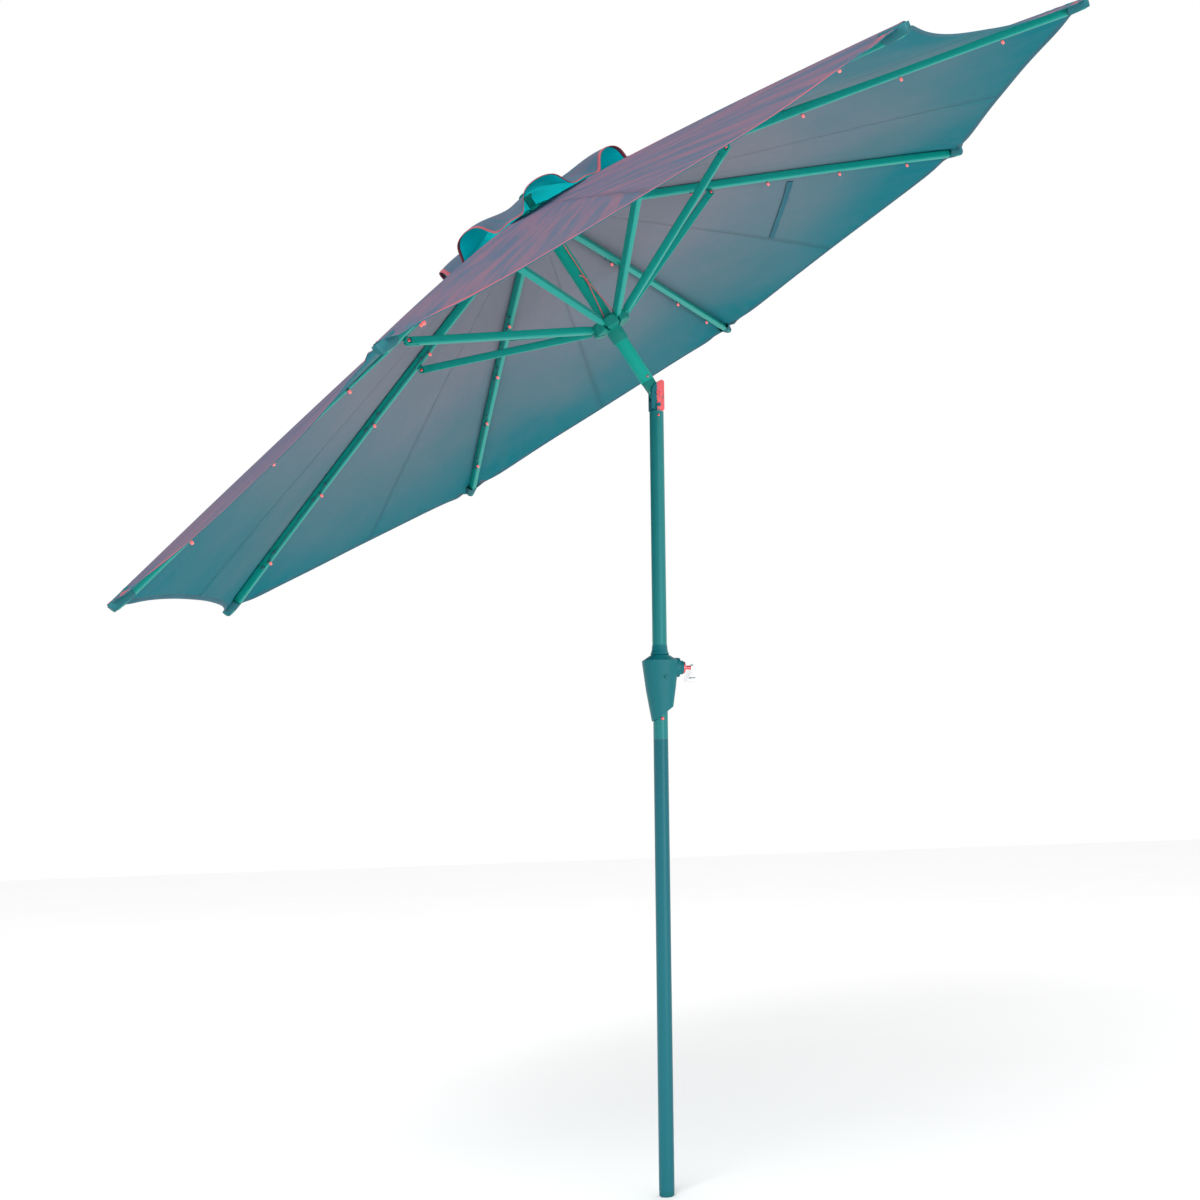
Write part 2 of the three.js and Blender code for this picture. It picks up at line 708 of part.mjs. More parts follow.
function ventCap() {
  const steps = 6;
  const half = clothThickness / 2;
  const stepOut = (capRadius - capFlat) / steps;
  const slope = Array.from({ length: steps + 1 }, (_, i) => capFlat + stepOut * i);
  const radii = [capHole, ...slope];
  const profile = [
    ...radii.map((r) => [r, -half]), ...radii.reverse().map((r) => [r, half]), [capHole, -half],
  ];
  const g = turned(profile, 48);
  const at = g.attributes.position;
  for (let i = 0; i < at.count; i += 1) {
    const radius = Math.hypot(at.getX(i), at.getY(i));
    const angle = Math.atan2(at.getY(i), at.getX(i)) - firstRibAzimuth;
    at.setZ(i, at.getZ(i) + capHeight(radius, angle));
  }
  return g;
}

function closingStrap() {
  const rise = clothRise - clothThickness / 2 - strapThickness / 2 - strapClear;
  return sheet(1, 8, strapThickness, (u, v) => {
    const s = strapFrom.s + (strapTo.s - strapFrom.s) * v + (u - 0.5) * strapWidth;
    const across = strapFrom.across + (strapTo.across - strapFrom.across) * v;
    return clothPoint(s, across, rise);
  });
}

// ---- lights ------------------------------------------------------------------------------------
function lightString() {
  const lightSteps = Array.from({ length: lightCount }, (_, i) => lightFirst + lightSpacing * i);
  const start = lightSteps[0] - 20;
  const end = lightSteps[lightCount - 1] + 16;
  const strip = ribStrip(start, end, -lightWireDrop, -lightWireDrop + lightWire, 6);
  const wire = plate(strip, lightWire).translate(0, lightSide - lightWire / 2, 0);
  const bulbs = lightSteps.map((s) => {
    const [x, z] = ribPoint(s);
    const r = lightRadius;
    const bulb = turned([
      [0, -bulbBottom], [r * 0.8, -bulbBottom + 2], [r, -bulbBottom + 7],
      [r * 0.6, -bulbTop - 5], [r * 0.4, -bulbTop], [0, -bulbTop],
    ], 8);
    return bulb.translate(x, lightSide, z);
  });
  return combine([wire, ...bulbs]);
}

// ---- the umbrella ------------------------------------------------------------------------------
const polePaint = paint('pole_paint', 0x287d85, 0.35, 0.6);
const framePaint = paint('frame_paint', 0x128274, 0.4, 0.5);
const housingPlastic = paint('housing_plastic', 0x1e7d82, 0.5, 0);
const hubPlastic = paint('hub_plastic', 0x0f8076, 0.5, 0);
const brightMetal = paint('bright_metal', 0xff7d7d, 0.25, 0.9);
const handleMetal = paint('handle_metal', 0xf6f6f6, 0.2, 0.9);
const canopyCloth = paint('canopy_cloth', 0x547c8c, 0.9, 0);
const capCloth = paint('cap_cloth', 0x7a7891, 0.9, 0);
const cordFibre = paint('cord_fibre', 0xff7d7d, 0.8, 0);
const lightPlastic = paint('light_plastic', 0xff7d7d, 0.3, 0);
const plugPlastic = paint('plug_plastic', 0x1f6f77, 0.6, 0);

const umbrella = new THREE.Group();
umbrella.name = 'umbrella';

add(umbrella, 'foot_plug', footPlug(), plugPlastic);
add(umbrella, 'lower_pole', lowerPole(), polePaint);
add(umbrella, 'pole_connector', poleConnector(), brightMetal);
add(umbrella, 'middle_pole', middlePole(), polePaint);
add(umbrella, 'lock_button', lockButton(), brightMetal);
add(umbrella, 'crank_housing', crankHousing(), housingPlastic);
add(umbrella, 'housing_collar', housingCollar(), housingPlastic);
add(umbrella, 'housing_screw', housingScrew(), housingPlastic);
add(umbrella, 'crank_spindle', crankSpindle(), brightMetal);
add(umbrella, 'crank_arm', crankArm(), handleMetal);
add(umbrella, 'crank_knob', crankKnob(), handleMetal);
add(umbrella, 'pole_rivet', poleRivet(), brightMetal);
add(umbrella, 'tilt_fork', tiltFork(), brightMetal);
add(umbrella, 'tilt_pin', tiltPin(), brightMetal);
add(umbrella, 'tilt_button', tiltButton(), housingPlastic);

const mast = new THREE.Group();
mast.name = 'upper_mast';
mast.position.set(0, 0, tiltHeight);
mast.rotation.y = -tiltAngle;
umbrella.add(mast);

add(mast, 'tilt_tongue', tiltTongue(), hubPlastic);
add(mast, 'tongue_screw', tongueScrew(), brightMetal);
add(mast, 'upper_pole', upperPole(), polePaint);
add(mast, 'top_hub', topHub(), hubPlastic);
add(mast, 'crown_wire', wireRing(ribPivotRadius, hubHeight), brightMetal);
add(mast, 'vent_cap', ventCap(), capCloth);
add(mast, 'finial', finial(), hubPlastic);
add(mast, 'lift_cord', liftCord(), cordFibre);
add(mast, 'runner', runner(), hubPlastic);
add(mast, 'runner_wire', wireRing(strutPivotRadius, runnerHeight), brightMetal);

for (let k = 1; k <= ribCount; k += 1) {
  const arm = new THREE.Group();
  arm.name = `arm_${k}`;
  arm.position.z = hubHeight;
  arm.rotation.z = azimuth(k);
  mast.add(arm);
  add(arm, `rib_${k}`, rib(), framePaint);
  add(arm, `strut_${k}`, strut(), framePaint);
  add(arm, `canopy_${k}`, sector(), canopyCloth);
  add(arm, `lights_${k}`, lightString(), lightPlastic);
  if (k === 2) add(arm, 'closing_strap', closingStrap(), canopyCloth);
}

export default umbrella;
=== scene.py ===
"""A tilted market umbrella: cloth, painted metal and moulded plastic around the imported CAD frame.
Metres, +Z up the lower pole, the mast above the tilt joint leaning towards -X."""
import json
import math

import bpy
import numpy as np
from mathutils import Matrix, Vector

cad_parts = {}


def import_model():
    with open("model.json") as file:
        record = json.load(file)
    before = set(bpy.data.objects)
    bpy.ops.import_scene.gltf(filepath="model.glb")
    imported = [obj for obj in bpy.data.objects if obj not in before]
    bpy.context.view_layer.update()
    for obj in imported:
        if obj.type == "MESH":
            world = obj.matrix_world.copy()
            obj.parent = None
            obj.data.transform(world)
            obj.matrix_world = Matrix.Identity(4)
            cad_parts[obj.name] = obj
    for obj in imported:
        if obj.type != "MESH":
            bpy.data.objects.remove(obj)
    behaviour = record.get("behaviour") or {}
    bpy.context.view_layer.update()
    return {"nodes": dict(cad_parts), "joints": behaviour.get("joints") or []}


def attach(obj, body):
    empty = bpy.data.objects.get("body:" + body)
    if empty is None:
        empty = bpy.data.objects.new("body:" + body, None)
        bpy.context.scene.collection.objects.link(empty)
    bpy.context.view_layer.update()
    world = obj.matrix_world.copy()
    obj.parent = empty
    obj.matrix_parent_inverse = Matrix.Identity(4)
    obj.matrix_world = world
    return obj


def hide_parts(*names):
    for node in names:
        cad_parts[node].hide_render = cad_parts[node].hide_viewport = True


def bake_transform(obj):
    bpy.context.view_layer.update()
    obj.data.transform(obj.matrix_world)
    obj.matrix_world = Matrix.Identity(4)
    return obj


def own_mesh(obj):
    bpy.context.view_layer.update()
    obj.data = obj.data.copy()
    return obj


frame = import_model()

# ---- sizes, in metres and radians ---------------------------------------------------------------
RIBS = 8
MM = 0.001
STEP = 2 * math.pi / RIBS
RIB_SPAN = 1.396  # rib pivot to canopy tip, along the rib
DROOP_AT_HUB = math.radians(14.3)
DROOP_AT_TIP = math.radians(16.5)
RIB_HALF_HEIGHT = 10.5 * MM
RIB_WIDTH = 16 * MM
RIB_BODY_START = 22 * MM
RIB_END = RIB_SPAN - 12 * MM
STRUT_JOINT = 0.483
LUG_DROP = 21.5 * MM
LUG_WIDTH = 5 * MM
LUG_RADIUS = 7 * MM
TAB_RADIUS = 6 * MM
TAB_WIDTH = 5.2 * MM
STRUT_HALF_HEIGHT = 9.5 * MM
STRUT_WIDTH = 16 * MM
VENT_HOLE = 0.128  # rib pivot to the vent hole's edge, along the rib
HEM_SAG = 62 * MM
HEM_DROOP = 28 * MM  # how far the hem hangs below the straight line between two tips
DROOP_POWER = 3
HEM_POWER = 2.6
HEM_WIDTH = 13 * MM
CLOTH = 1.0 * MM  # thickness of the cloth that shows
CLOTH_RISE = 13.3 * MM  # rib's centreline to the middle of the cloth
POCKET = 55 * MM
CAP_RADIUS = 0.288
CAP_RISE = 56 * MM  # rib pivots to the cap's crown
CAP_ARCH = 48 * MM
CAP_ARCH_SHARE = 0.72  # part of a gore that its arch takes up
CAP_ARCH_POWER = 1.25
CAP_FLAT = 18 * MM
CAP_ARCH_START = 80 * MM
CAP_HOLE = 8 * MM
CAP_PUFF = 6 * MM  # how far the cap swells between crown and edge
CAP_HEM_WIDTH = 10 * MM
CAP_COLUMNS = 256
LIGHT_STEPS = [(0.308 + 0.179 * i) * RIB_SPAN for i in range(4)]
LIGHT_SIDE = 11.4 * MM


# ---- the frame's own places ---------------------------------------------------------------------
def joint(name):
    return next(j for j in frame["joints"] if j["name"] == name)


TILT = Vector(joint("tilt")["pos_m"])
LEAN = math.radians(-joint("tilt")["range_deg"][0])
MAST = Matrix.Translation(TILT) @ Matrix.Rotation(-LEAN, 4, "Y")
FIRST_PIVOT = MAST.inverted() @ Vector(joint("rib_1_fold")["pos_m"])
HUB_HEIGHT = FIRST_PIVOT.z
RIB_PIVOT_RADIUS = math.hypot(FIRST_PIVOT.x, FIRST_PIVOT.y)
FIRST_AZIMUTH = math.atan2(FIRST_PIVOT.y, FIRST_PIVOT.x)


def arm(k):
    """Rib k's own frame: x out from the mast's axis, z up the mast from the rib pivots."""
    turn = Matrix.Rotation(FIRST_AZIMUTH + STEP * (k - 1), 4, "Z")
    return MAST @ Matrix.Translation((0, 0, HUB_HEIGHT)) @ turn


BEND = (DROOP_AT_TIP - DROOP_AT_HUB) / RIB_SPAN


def rib_point(s, rise=0.0):
    """(x, z) of the point s along the rib and rise above its centreline, in the arm's frame."""
    slope = DROOP_AT_HUB + BEND * s
    x = RIB_PIVOT_RADIUS + (math.sin(slope) - math.sin(DROOP_AT_HUB)) / BEND
    z = (math.cos(slope) - math.cos(DROOP_AT_HUB)) / BEND
    return x + rise * math.sin(slope), z + rise * math.cos(slope)


def rib_reach(x):
    """How far along the rib its centreline is x out from the mast's axis."""
    slope = math.asin((x - RIB_PIVOT_RADIUS) * BEND + math.sin(DROOP_AT_HUB))
    return (slope - DROOP_AT_HUB) / BEND


# ---- meshes -------------------------------------------------------------------------------------
def smoothstep(low, high, x):
    t = min(1.0, max(0.0, (x - low) / (high - low)))
    return t * t * (3 - 2 * t)


def make(name, verts, faces, materials, uvs=None, kinds=None, place=None, sharp=None, walls=0):
    """A mesh object. uvs are per vertex; kinds gives each face its material's index. The last
    faces, as many as walls, are shaded flat, so the smooth ones beside them stay even."""
    mesh = bpy.data.meshes.new(name)
    mesh.from_pydata([tuple(v) for v in verts], [], faces)
    for m in materials:
        mesh.materials.append(m)
    smooth = len(faces) - walls
    mesh.polygons.foreach_set("use_smooth", [True] * smooth + [False] * walls)
    if kinds is not None:
        mesh.polygons.foreach_set("material_index", kinds)
    if uvs is not None:
        layer = mesh.uv_layers.new(name="UVMap")
        loops = np.zeros(len(mesh.loops), int)
        mesh.loops.foreach_get("vertex_index", loops)
        layer.data.foreach_set("uv", np.asarray(uvs, np.float32)[loops].ravel())
    if place is not None:
        mesh.transform(place)
    mesh.validate()
    mesh.update()
    obj = bpy.data.objects.new(name, mesh)
    bpy.context.scene.collection.objects.link(obj)
    if sharp is not None:
        split = obj.modifiers.new("crisp_edges", "EDGE_SPLIT")
        split.split_angle = math.radians(sharp)
    return obj


def grid_faces(rows, cols, wrap=False, flip=False, start=0):
    faces = []
    for r in range(rows - 1):
        for c in range(cols if wrap else cols - 1):
            d = (c + 1) % cols
            quad = (start + r * cols + c, start + r * cols + d,
                    start + (r + 1) * cols + d, start + (r + 1) * cols + c)
            faces.append(quad[::-1] if flip else quad)
    return faces


def turned(profile, sides=48):
    """Vertices and faces of a body of revolution about Z from (radius, height) pairs."""
    verts = [(r * math.cos(a), r * math.sin(a), z)
             for r, z in profile
             for a in (2 * math.pi * i / sides for i in range(sides))]
    return verts, grid_faces(len(profile), sides, wrap=True)


def rounded(profile, radius, steps=4):
    """The same open profile with each inner corner rounded off."""
    out = [profile[0]]
    for before, corner, after in zip(profile, profile[1:], profile[2:]):
        a, b, c = (Vector(p) for p in (before, corner, after))
        reach = min(radius, 0.45 * (a - b).length, 0.45 * (c - b).length)
        start = b + (a - b).normalized() * reach
        end = b + (c - b).normalized() * reach
        for i in range(steps + 1):
            t = i / steps
            out.append(tuple(start * (1 - t) ** 2 + b * 2 * t * (1 - t) + end * t * t))
    return out + [profile[-1]]


def rounded_box(half_width, half_height, radius, steps=4):
    """The outline of a box section with round corners, anticlockwise."""
    points = []
    for i, (sx, sy) in enumerate(((1, 1), (-1, 1), (-1, -1), (1, -1))):
        for j in range(steps + 1):
            a = math.pi / 2 * (i + j / steps)
            points.append((sx * (half_width - radius) + radius * math.cos(a),
                           sy * (half_height - radius) + radius * math.sin(a)))
    return points


def swept(stations):
    """A skin over stations, each a list of the same number of points, closed at both ends."""
    count = len(stations[0])
    verts = [p for station in stations for p in station]
    faces = grid_faces(len(stations), count, wrap=True)
    last = (len(stations) - 1) * count
    faces.append(tuple(range(count))[::-1])
    faces.append(tuple(last + i for i in range(count)))
    return verts, faces


def joined(parts):
    """One list of vertices and faces from several."""
    verts, faces = [], []
    for v, f in parts:
        start = len(verts)
        verts += [tuple(p) for p in v]
        faces += [tuple(start + i for i in face) for face in f]
    return verts, faces


def moved(part, matrix):
    verts, faces = part
    return [matrix @ Vector(v) for v in verts], faces


def tube_along(points, radius, sides):
    """A round tube through points, with frames carried along so that it doesn't twist."""
    pts = [Vector(p) for p in points]
    tangents = [(pts[min(i + 1, len(pts) - 1)] - pts[max(i - 1, 0)]).normalized()
                for i in range(len(pts))]
    side = tangents[0].orthogonal().normalized()
    stations = []
    for p, t in zip(pts, tangents):
        side = (side - t * side.dot(t)).normalized()
        up = t.cross(side)
        stations.append([p + (side * math.cos(a) + up * math.sin(a)) * radius
                         for a in (2 * math.pi * i / sides for i in range(sides))])
    return swept(stations)


def curve_through(points, steps=8):
    """A smooth line through points, by Catmull-Rom."""
    pts = [Vector(p) for p in points]
    pts = [2 * pts[0] - pts[1], *pts, 2 * pts[-1] - pts[-2]]
    line = []
    for a, b, c, d in zip(pts, pts[1:], pts[2:], pts[3:]):
        for i in range(steps):
            t = i / steps
            line.append(0.5 * (2 * b + (c - a) * t + (2 * a - 5 * b + 4 * c - d) * t * t
                               + (3 * b - a - 3 * c + d) * t ** 3))
    return line + [pts[-2]]


def cross_disc(radius, length, x, z, y=0.0, sides=24, dome=0.0):
    """A round pin along Y with its centre at (x, y, z), and a domed end if asked."""
    edge = 0.12 * radius
    half = length / 2
    profile = [(0.0001 * radius, -half - dome), (0.5 * radius, -half - 0.8 * dome),
               (radius - edge, -half - 0.1 * dome), (radius, -half + edge), (radius, half - edge),
               (radius - edge, half + 0.1 * dome), (0.5 * radius, half + 0.8 * dome),
               (0.0001 * radius, half + dome)]
    verts, faces = turned(profile, sides)
    place = Matrix.Translation((x, y, z)) @ Matrix.Rotation(-math.pi / 2, 4, "X")
    return moved((verts, faces), place)


# ---- materials ----------------------------------------------------------------------------------
YARNS = 350.0  # scale of the weave's bands, for yarns just under a millimetre apart


def linear(r, g, b):
    """A colour given as 0 to 255 values on screen, as light."""
    def one(v):
        v /= 255
        return v / 12.92 if v <= 0.04045 else ((v + 0.055) / 1.055) ** 2.4
    return (one(r), one(g), one(b), 1.0)


class Nodes:
    """A material's node tree, with short calls to add to it."""

    def __init__(self, name, roughness, metallic=0.0):
        self.material = bpy.data.materials.new(name)
        self.material.use_nodes = True
        self.tree = self.material.node_tree
        self.shader = self.tree.nodes["Principled BSDF"]
        self.shader.inputs["Roughness"].default_value = roughness
        self.shader.inputs["Metallic"].default_value = metallic

    def add(self, kind, settings=None, **inputs):
        node = self.tree.nodes.new(kind)
        for key, value in (settings or {}).items():
            setattr(node, key, value)
        for key, value in inputs.items():
            self.put(node.inputs[key.replace("_", " ")], value)
        return node

    def put(self, socket, value):
        if isinstance(value, bpy.types.NodeSocket):
            self.tree.links.new(value, socket)
        else:
            socket.default_value = value

    def coordinates(self, kind, scale):
        source = self.add("ShaderNodeTexCoord").outputs[kind]
        return self.add("ShaderNodeMapping", Vector=source, Scale=scale).outputs[0]

    def noise(self, where, scale, detail=3.0, roughness=0.55):
        node = self.add("ShaderNodeTexNoise", Vector=where, Scale=scale, Detail=detail,
                        Roughness=roughness)
        return node.outputs["Fac"]

    def math(self, operation, a, b=0.0):
        node = self.add("ShaderNodeMath", {"operation": operation})
        self.put(node.inputs[0], a)
        self.put(node.inputs[1], b)
        return node.outputs[0]

    def ramp(self, value, low, high):
        node = self.add("ShaderNodeMapRange", Value=value)
        node.inputs["To Min"].default_value = low
        node.inputs["To Max"].default_value = high
        return node.outputs[0]

    def mix(self, share, a, b):
        node = self.add("ShaderNodeMix", {"data_type": "RGBA"})
        self.put(node.inputs["Factor"], share)
        self.put(node.inputs["A"], a)
        self.put(node.inputs["B"], b)
        return node.outputs["Result"]

    def bump(self, height, distance, strength=1.0, normal=None):
        node = self.add("ShaderNodeBump", Height=height, Distance=distance, Strength=strength)
        if normal is not None:
            self.put(node.inputs["Normal"], normal)
        return node.outputs[0]

    def finish(self, colour, roughness=None, normal=None):
        self.put(self.shader.inputs["Base Color"], colour)
        if roughness is not None:
            self.put(self.shader.inputs["Roughness"], roughness)
        if normal is not None:
            self.put(self.shader.inputs["Normal"], normal)
        return self.material


def cloth_material(name, hub_colour_with_painted_light, far, streak, streak_share, painted_glow=0.0):
    """Plain woven polyester, one colour by the hub and another by the tips: the change between
    them, lighter towards the hub, is painted light and shade.
    Also slow changes of tone, slubs along the yarns and paler streaks that run out from the hub,
    and a faint even glow where asked, which is painted light coming through the cloth."""
    n = Nodes(name, 0.85)
    where = n.coordinates("UV", (1, 1, 1))
    place = n.coordinates("Object", (1, 1, 1))
    yarns = []
    for axis in ("X", "Y"):
        wave = n.add("ShaderNodeTexWave", {"wave_type": "BANDS", "bands_direction": axis},
                     Vector=where, Scale=YARNS, Distortion=0.35, Detail=1.0)
        yarns.append(wave.outputs["Fac"])
    woven = n.math("MULTIPLY", yarns[0], yarns[1])
    # Painted light and shade: the colour runs from the hub's colour to the tips' colour with the
    # distance from the hub.
    hub = n.add("ShaderNodeVectorMath", {"operation": "DISTANCE"})
    n.put(hub.inputs[0], place)
    n.put(hub.inputs[1], tuple(arm(1).translation))
    out = n.math("MULTIPLY", hub.outputs["Value"], 1 / RIB_SPAN)
    cloud = n.noise(place, 3.0, 4.0)
    out = n.math("ADD", out, n.math("MULTIPLY", n.math("SUBTRACT", cloud, 0.5), 0.35))
    colour = n.mix(n.ramp(out, -0.6, 1.1), linear(*hub_colour_with_painted_light), linear(*far))
    slub = n.noise(n.coordinates("UV", (1, 40, 1)), 14.0, 2.0)
    colour = n.mix(n.math("MULTIPLY", slub, 0.25), colour, linear(*[0.8 * c for c in far]))
    streaks = n.noise(n.coordinates("UV", (1.2, 14, 1)), 2.4, 5.0)
    paler = n.math("MULTIPLY", n.ramp(streaks, -1.0, 1.6), streak_share)
    colour = n.mix(paler, colour, linear(*streak))
    colour = n.mix(n.ramp(woven, 0.0, 0.14), colour, linear(*[0.7 * c for c in far]))
    normal = n.bump(woven, 0.12 * MM, 0.6)
    normal = n.bump(n.noise(place, 20.0, 3.0), 1.0 * MM, 0.3, normal)
    n.shader.inputs["Specular IOR Level"].default_value = 0.08
    # Painted light: an even glow, where asked, stands for light coming through the cloth.
    n.shader.inputs["Emission Color"].default_value = linear(*far)
    n.shader.inputs["Emission Strength"].default_value = painted_glow
    return n.finish(colour, n.ramp(cloud, 0.78, 0.92), normal)


def tape_material(name, colour, thread):
    """Folded and stitched edge: the same weave with a row of stitches down its length."""
    n = Nodes(name, 0.8)
    where = n.coordinates("UV", (1, 1, 1))
    parts = n.add("ShaderNodeSeparateXYZ", Vector=where)
    along, across = parts.outputs["X"], parts.outputs["Y"]
    run = n.math("PINGPONG", along, 2.2 * MM)
    in_stitch = n.math("GREATER_THAN", run, 0.7 * MM)
    off = n.math("ABSOLUTE", n.math("SUBTRACT", across, 3.2 * MM))
    in_row = n.math("LESS_THAN", off, 0.55 * MM)
    stitch = n.math("MULTIPLY", in_stitch, in_row)
    cloud = n.noise(where, 9.0, 4.0)
    cloth = n.mix(cloud, linear(*[0.82 * c for c in colour]), linear(*colour))
    weave = n.noise(where, 900.0, 1.0)
    normal = n.bump(n.math("ADD", n.math("MULTIPLY", weave, 0.4), stitch), 0.4 * MM, 0.7)
    return n.finish(n.mix(stitch, cloth, linear(*thread)), 0.82, normal)


def paint_material(name, colour, dark, roughness=0.36):
    """Powder coat on steel: fine orange peel, faint rubbed streaks and dusty patches."""
    n = Nodes(name, roughness, 0.15)
    where = n.coordinates("Object", (1, 1, 1))
    streak = n.noise(n.coordinates("Object", (90, 90, 2.5)), 4.0, 3.0)
    patch = n.noise(where, 7.0, 5.0)
    tone = n.math("ADD", n.math("MULTIPLY", streak, 0.4), n.math("MULTIPLY", patch, 0.6))
    base = n.mix(tone, linear(*dark), linear(*colour))
    peel = n.noise(where, 700.0, 2.0)
    n.shader.inputs["Specular IOR Level"].default_value = 0.25
    n.shader.inputs["Coat Weight"].default_value = 0.1
    n.shader.inputs["Coat Roughness"].default_value = 0.2
    return n.finish(base, n.ramp(patch, roughness - 0.08, roughness + 0.12),
                    n.bump(peel, 0.08 * MM, 0.5))


def plastic_material(name, colour, dark, roughness=0.5):
    """Moulded plastic with a fine spark-eroded grain and a slight change of tone."""
    n = Nodes(name, roughness)
    where = n.coordinates("Object", (1, 1, 1))
    grain = n.add("ShaderNodeTexVoronoi", Vector=where, Scale=1400.0).outputs["Distance"]
    patch = n.noise(where, 18.0, 4.0)
    base = n.mix(patch, linear(*dark), linear(*colour))
    n.shader.inputs["Specular IOR Level"].default_value = 0.25
    return n.finish(base, n.ramp(patch, roughness - 0.08, roughness + 0.1),
                    n.bump(grain, 0.06 * MM, 0.6))


def metal_material(name, colour, dark):
    """Bright plated steel with drawn lines and a little tarnish."""
    n = Nodes(name, 0.25, 0.85)
    drawn = n.noise(n.coordinates("Object", (30, 30, 900)), 1.0, 2.0)
    tarnish = n.noise(n.coordinates("Object", (1, 1, 1)), 60.0, 4.0)
    base = n.mix(n.ramp(tarnish, 0.0, 0.8), linear(*colour), linear(*dark))
    return n.finish(base, n.ramp(drawn, 0.18, 0.38), n.bump(drawn, 0.03 * MM, 0.5))


def joint_material(name, bright, painted):
    """A pressed steel joint: worn bright on the side away from the lean, painted on the other."""
    n = Nodes(name, 0.3, 0.6)
    where = n.coordinates("Object", (1, 1, 1))
    x = n.add("ShaderNodeSeparateXYZ", Vector=where).outputs["X"]
    wear = n.noise(where, 130.0, 4.0)
    edge = n.math("ADD", x, n.math("MULTIPLY", n.math("SUBTRACT", wear, 0.5), 6 * MM))
    side = n.math("GREATER_THAN", edge, -3 * MM)
    scuff = n.noise(n.coordinates("Object", (1, 1, 0.25)), 240.0, 3.0)
    scratch = n.math("GREATER_THAN", scuff, 0.6)
    metal = n.mix(n.math("MULTIPLY", scratch, 0.85), linear(*bright), linear(*painted))
    base = n.mix(side, linear(*painted), metal)
    return n.finish(base, n.ramp(wear, 0.22, 0.45), n.bump(wear, 0.15 * MM, 0.5))


def cord_material(name, colour, dark):
    """Braided cord: two families of strands that cross round it."""
    n = Nodes(name, 0.75)
    where = n.coordinates("UV", (1, 1, 1))
    strands = []
    for turn in (0.8, -0.8):
        across = n.add("ShaderNodeMapping", Vector=where, Rotation=(0, 0, turn)).outputs[0]
        wave = n.add("ShaderNodeTexWave", Vector=across, Scale=320.0, Distortion=0.3)
        strands.append(wave.outputs["Fac"])
    braid = n.math("MAXIMUM", strands[0], strands[1])
    return n.finish(n.mix(braid, linear(*dark), linear(*colour)), 0.75, n.bump(braid, 0.2 * MM))


def bulb_material(name, colour):
    """A small clear-tinted lamp moulding, unlit, given a faint painted glow that makes it bright
    against the frame.
    """
    n = Nodes(name, 0.15)
    where = n.coordinates("Object", (1, 1, 1))
    cloud = n.noise(where, 160.0, 2.0)
    # Painted light: the unlit lamp glows faintly.
    n.shader.inputs["Emission Color"].default_value = linear(*colour)
    n.shader.inputs["Emission Strength"].default_value = 0.55
    n.shader.inputs["Coat Weight"].default_value = 0.6
    return n.finish(n.mix(cloud, linear(*colour), linear(*[0.9 * c for c in colour])),
                    n.ramp(cloud, 0.1, 0.25), n.bump(cloud, 0.1 * MM, 0.3))


OUTER_CLOTH = cloth_material("outer_cloth", (78, 88, 112), (76, 92, 113), (142, 88, 103), 0.75)
# The inner cloth is painted much lighter by the hub than by the tips: painted light and shade.
INNER_CLOTH_WITH_PAINTED_LIGHT = cloth_material("inner_cloth", (132, 128, 140), (20, 116, 128), (76, 116, 128), 0.2)
CAP_OUTER = cloth_material("cap_outer_cloth", (66, 96, 114), (66, 96, 114), (120, 82, 102), 0.5)
# The cap's inner cloth has a brightened colour and a faint glow: painted light, for light coming
# through the cloth into its shaded arches.
CAP_INNER_WITH_PAINTED_GLOW = cloth_material("cap_inner_cloth_painted_glow", (0, 205, 212), (0, 180, 190), (0, 190, 200), 0.2, 0.3)
SEAM_TAPE = tape_material("hem_tape", (22, 104, 122), (90, 104, 122))
OUTER_TAPE = tape_material("outer_hem_tape", (166, 78, 94), (200, 92, 106))
POCKET_CLOTH = tape_material("pocket_cloth", (14, 108, 118), (46, 110, 120))
POLE_PAINT = paint_material("pole_paint", (12, 104, 115), (6, 96, 108))
# The middle and upper poles get lighter copies of the pole's paint: painted light, making up for
# the shade that the canopy casts on them.
MIDDLE_PAINT_LIGHTENED_FOR_SHADE = paint_material("middle_paint_lightened_for_shade", (34, 130, 130), (22, 120, 122))
UPPER_PAINT_LIGHTENED_FOR_SHADE = paint_material("upper_paint_lightened_for_shade", (10, 172, 154), (4, 162, 146))
FRAME_PAINT = paint_material("frame_paint", (8, 158, 146), (2, 144, 134), 0.42)
HOUSING_PLASTIC = plastic_material("housing_plastic", (8, 112, 120), (4, 104, 112), 0.42)
HUB_PLASTIC = plastic_material("hub_plastic", (6, 136, 124), (0, 124, 114))
PLUG_PLASTIC = plastic_material("plug_plastic", (12, 100, 108), (8, 92, 98), 0.6)
BRIGHT_METAL = metal_material("bright_metal", (250, 112, 116), (214, 84, 96))
JOINT_METAL = joint_material("joint_metal", (250, 108, 114), (20, 112, 122))
HANDLE_METAL = metal_material("handle_metal", (255, 255, 255), (236, 236, 240))
CORD = cord_material("cord_fibre", (236, 116, 120), (176, 92, 106))
BULB_WITH_PAINTED_GLOW = bulb_material("light_bulb", (255, 112, 112))
BULB_BASE = plastic_material("light_base", (60, 110, 116), (30, 100, 108), 0.5)


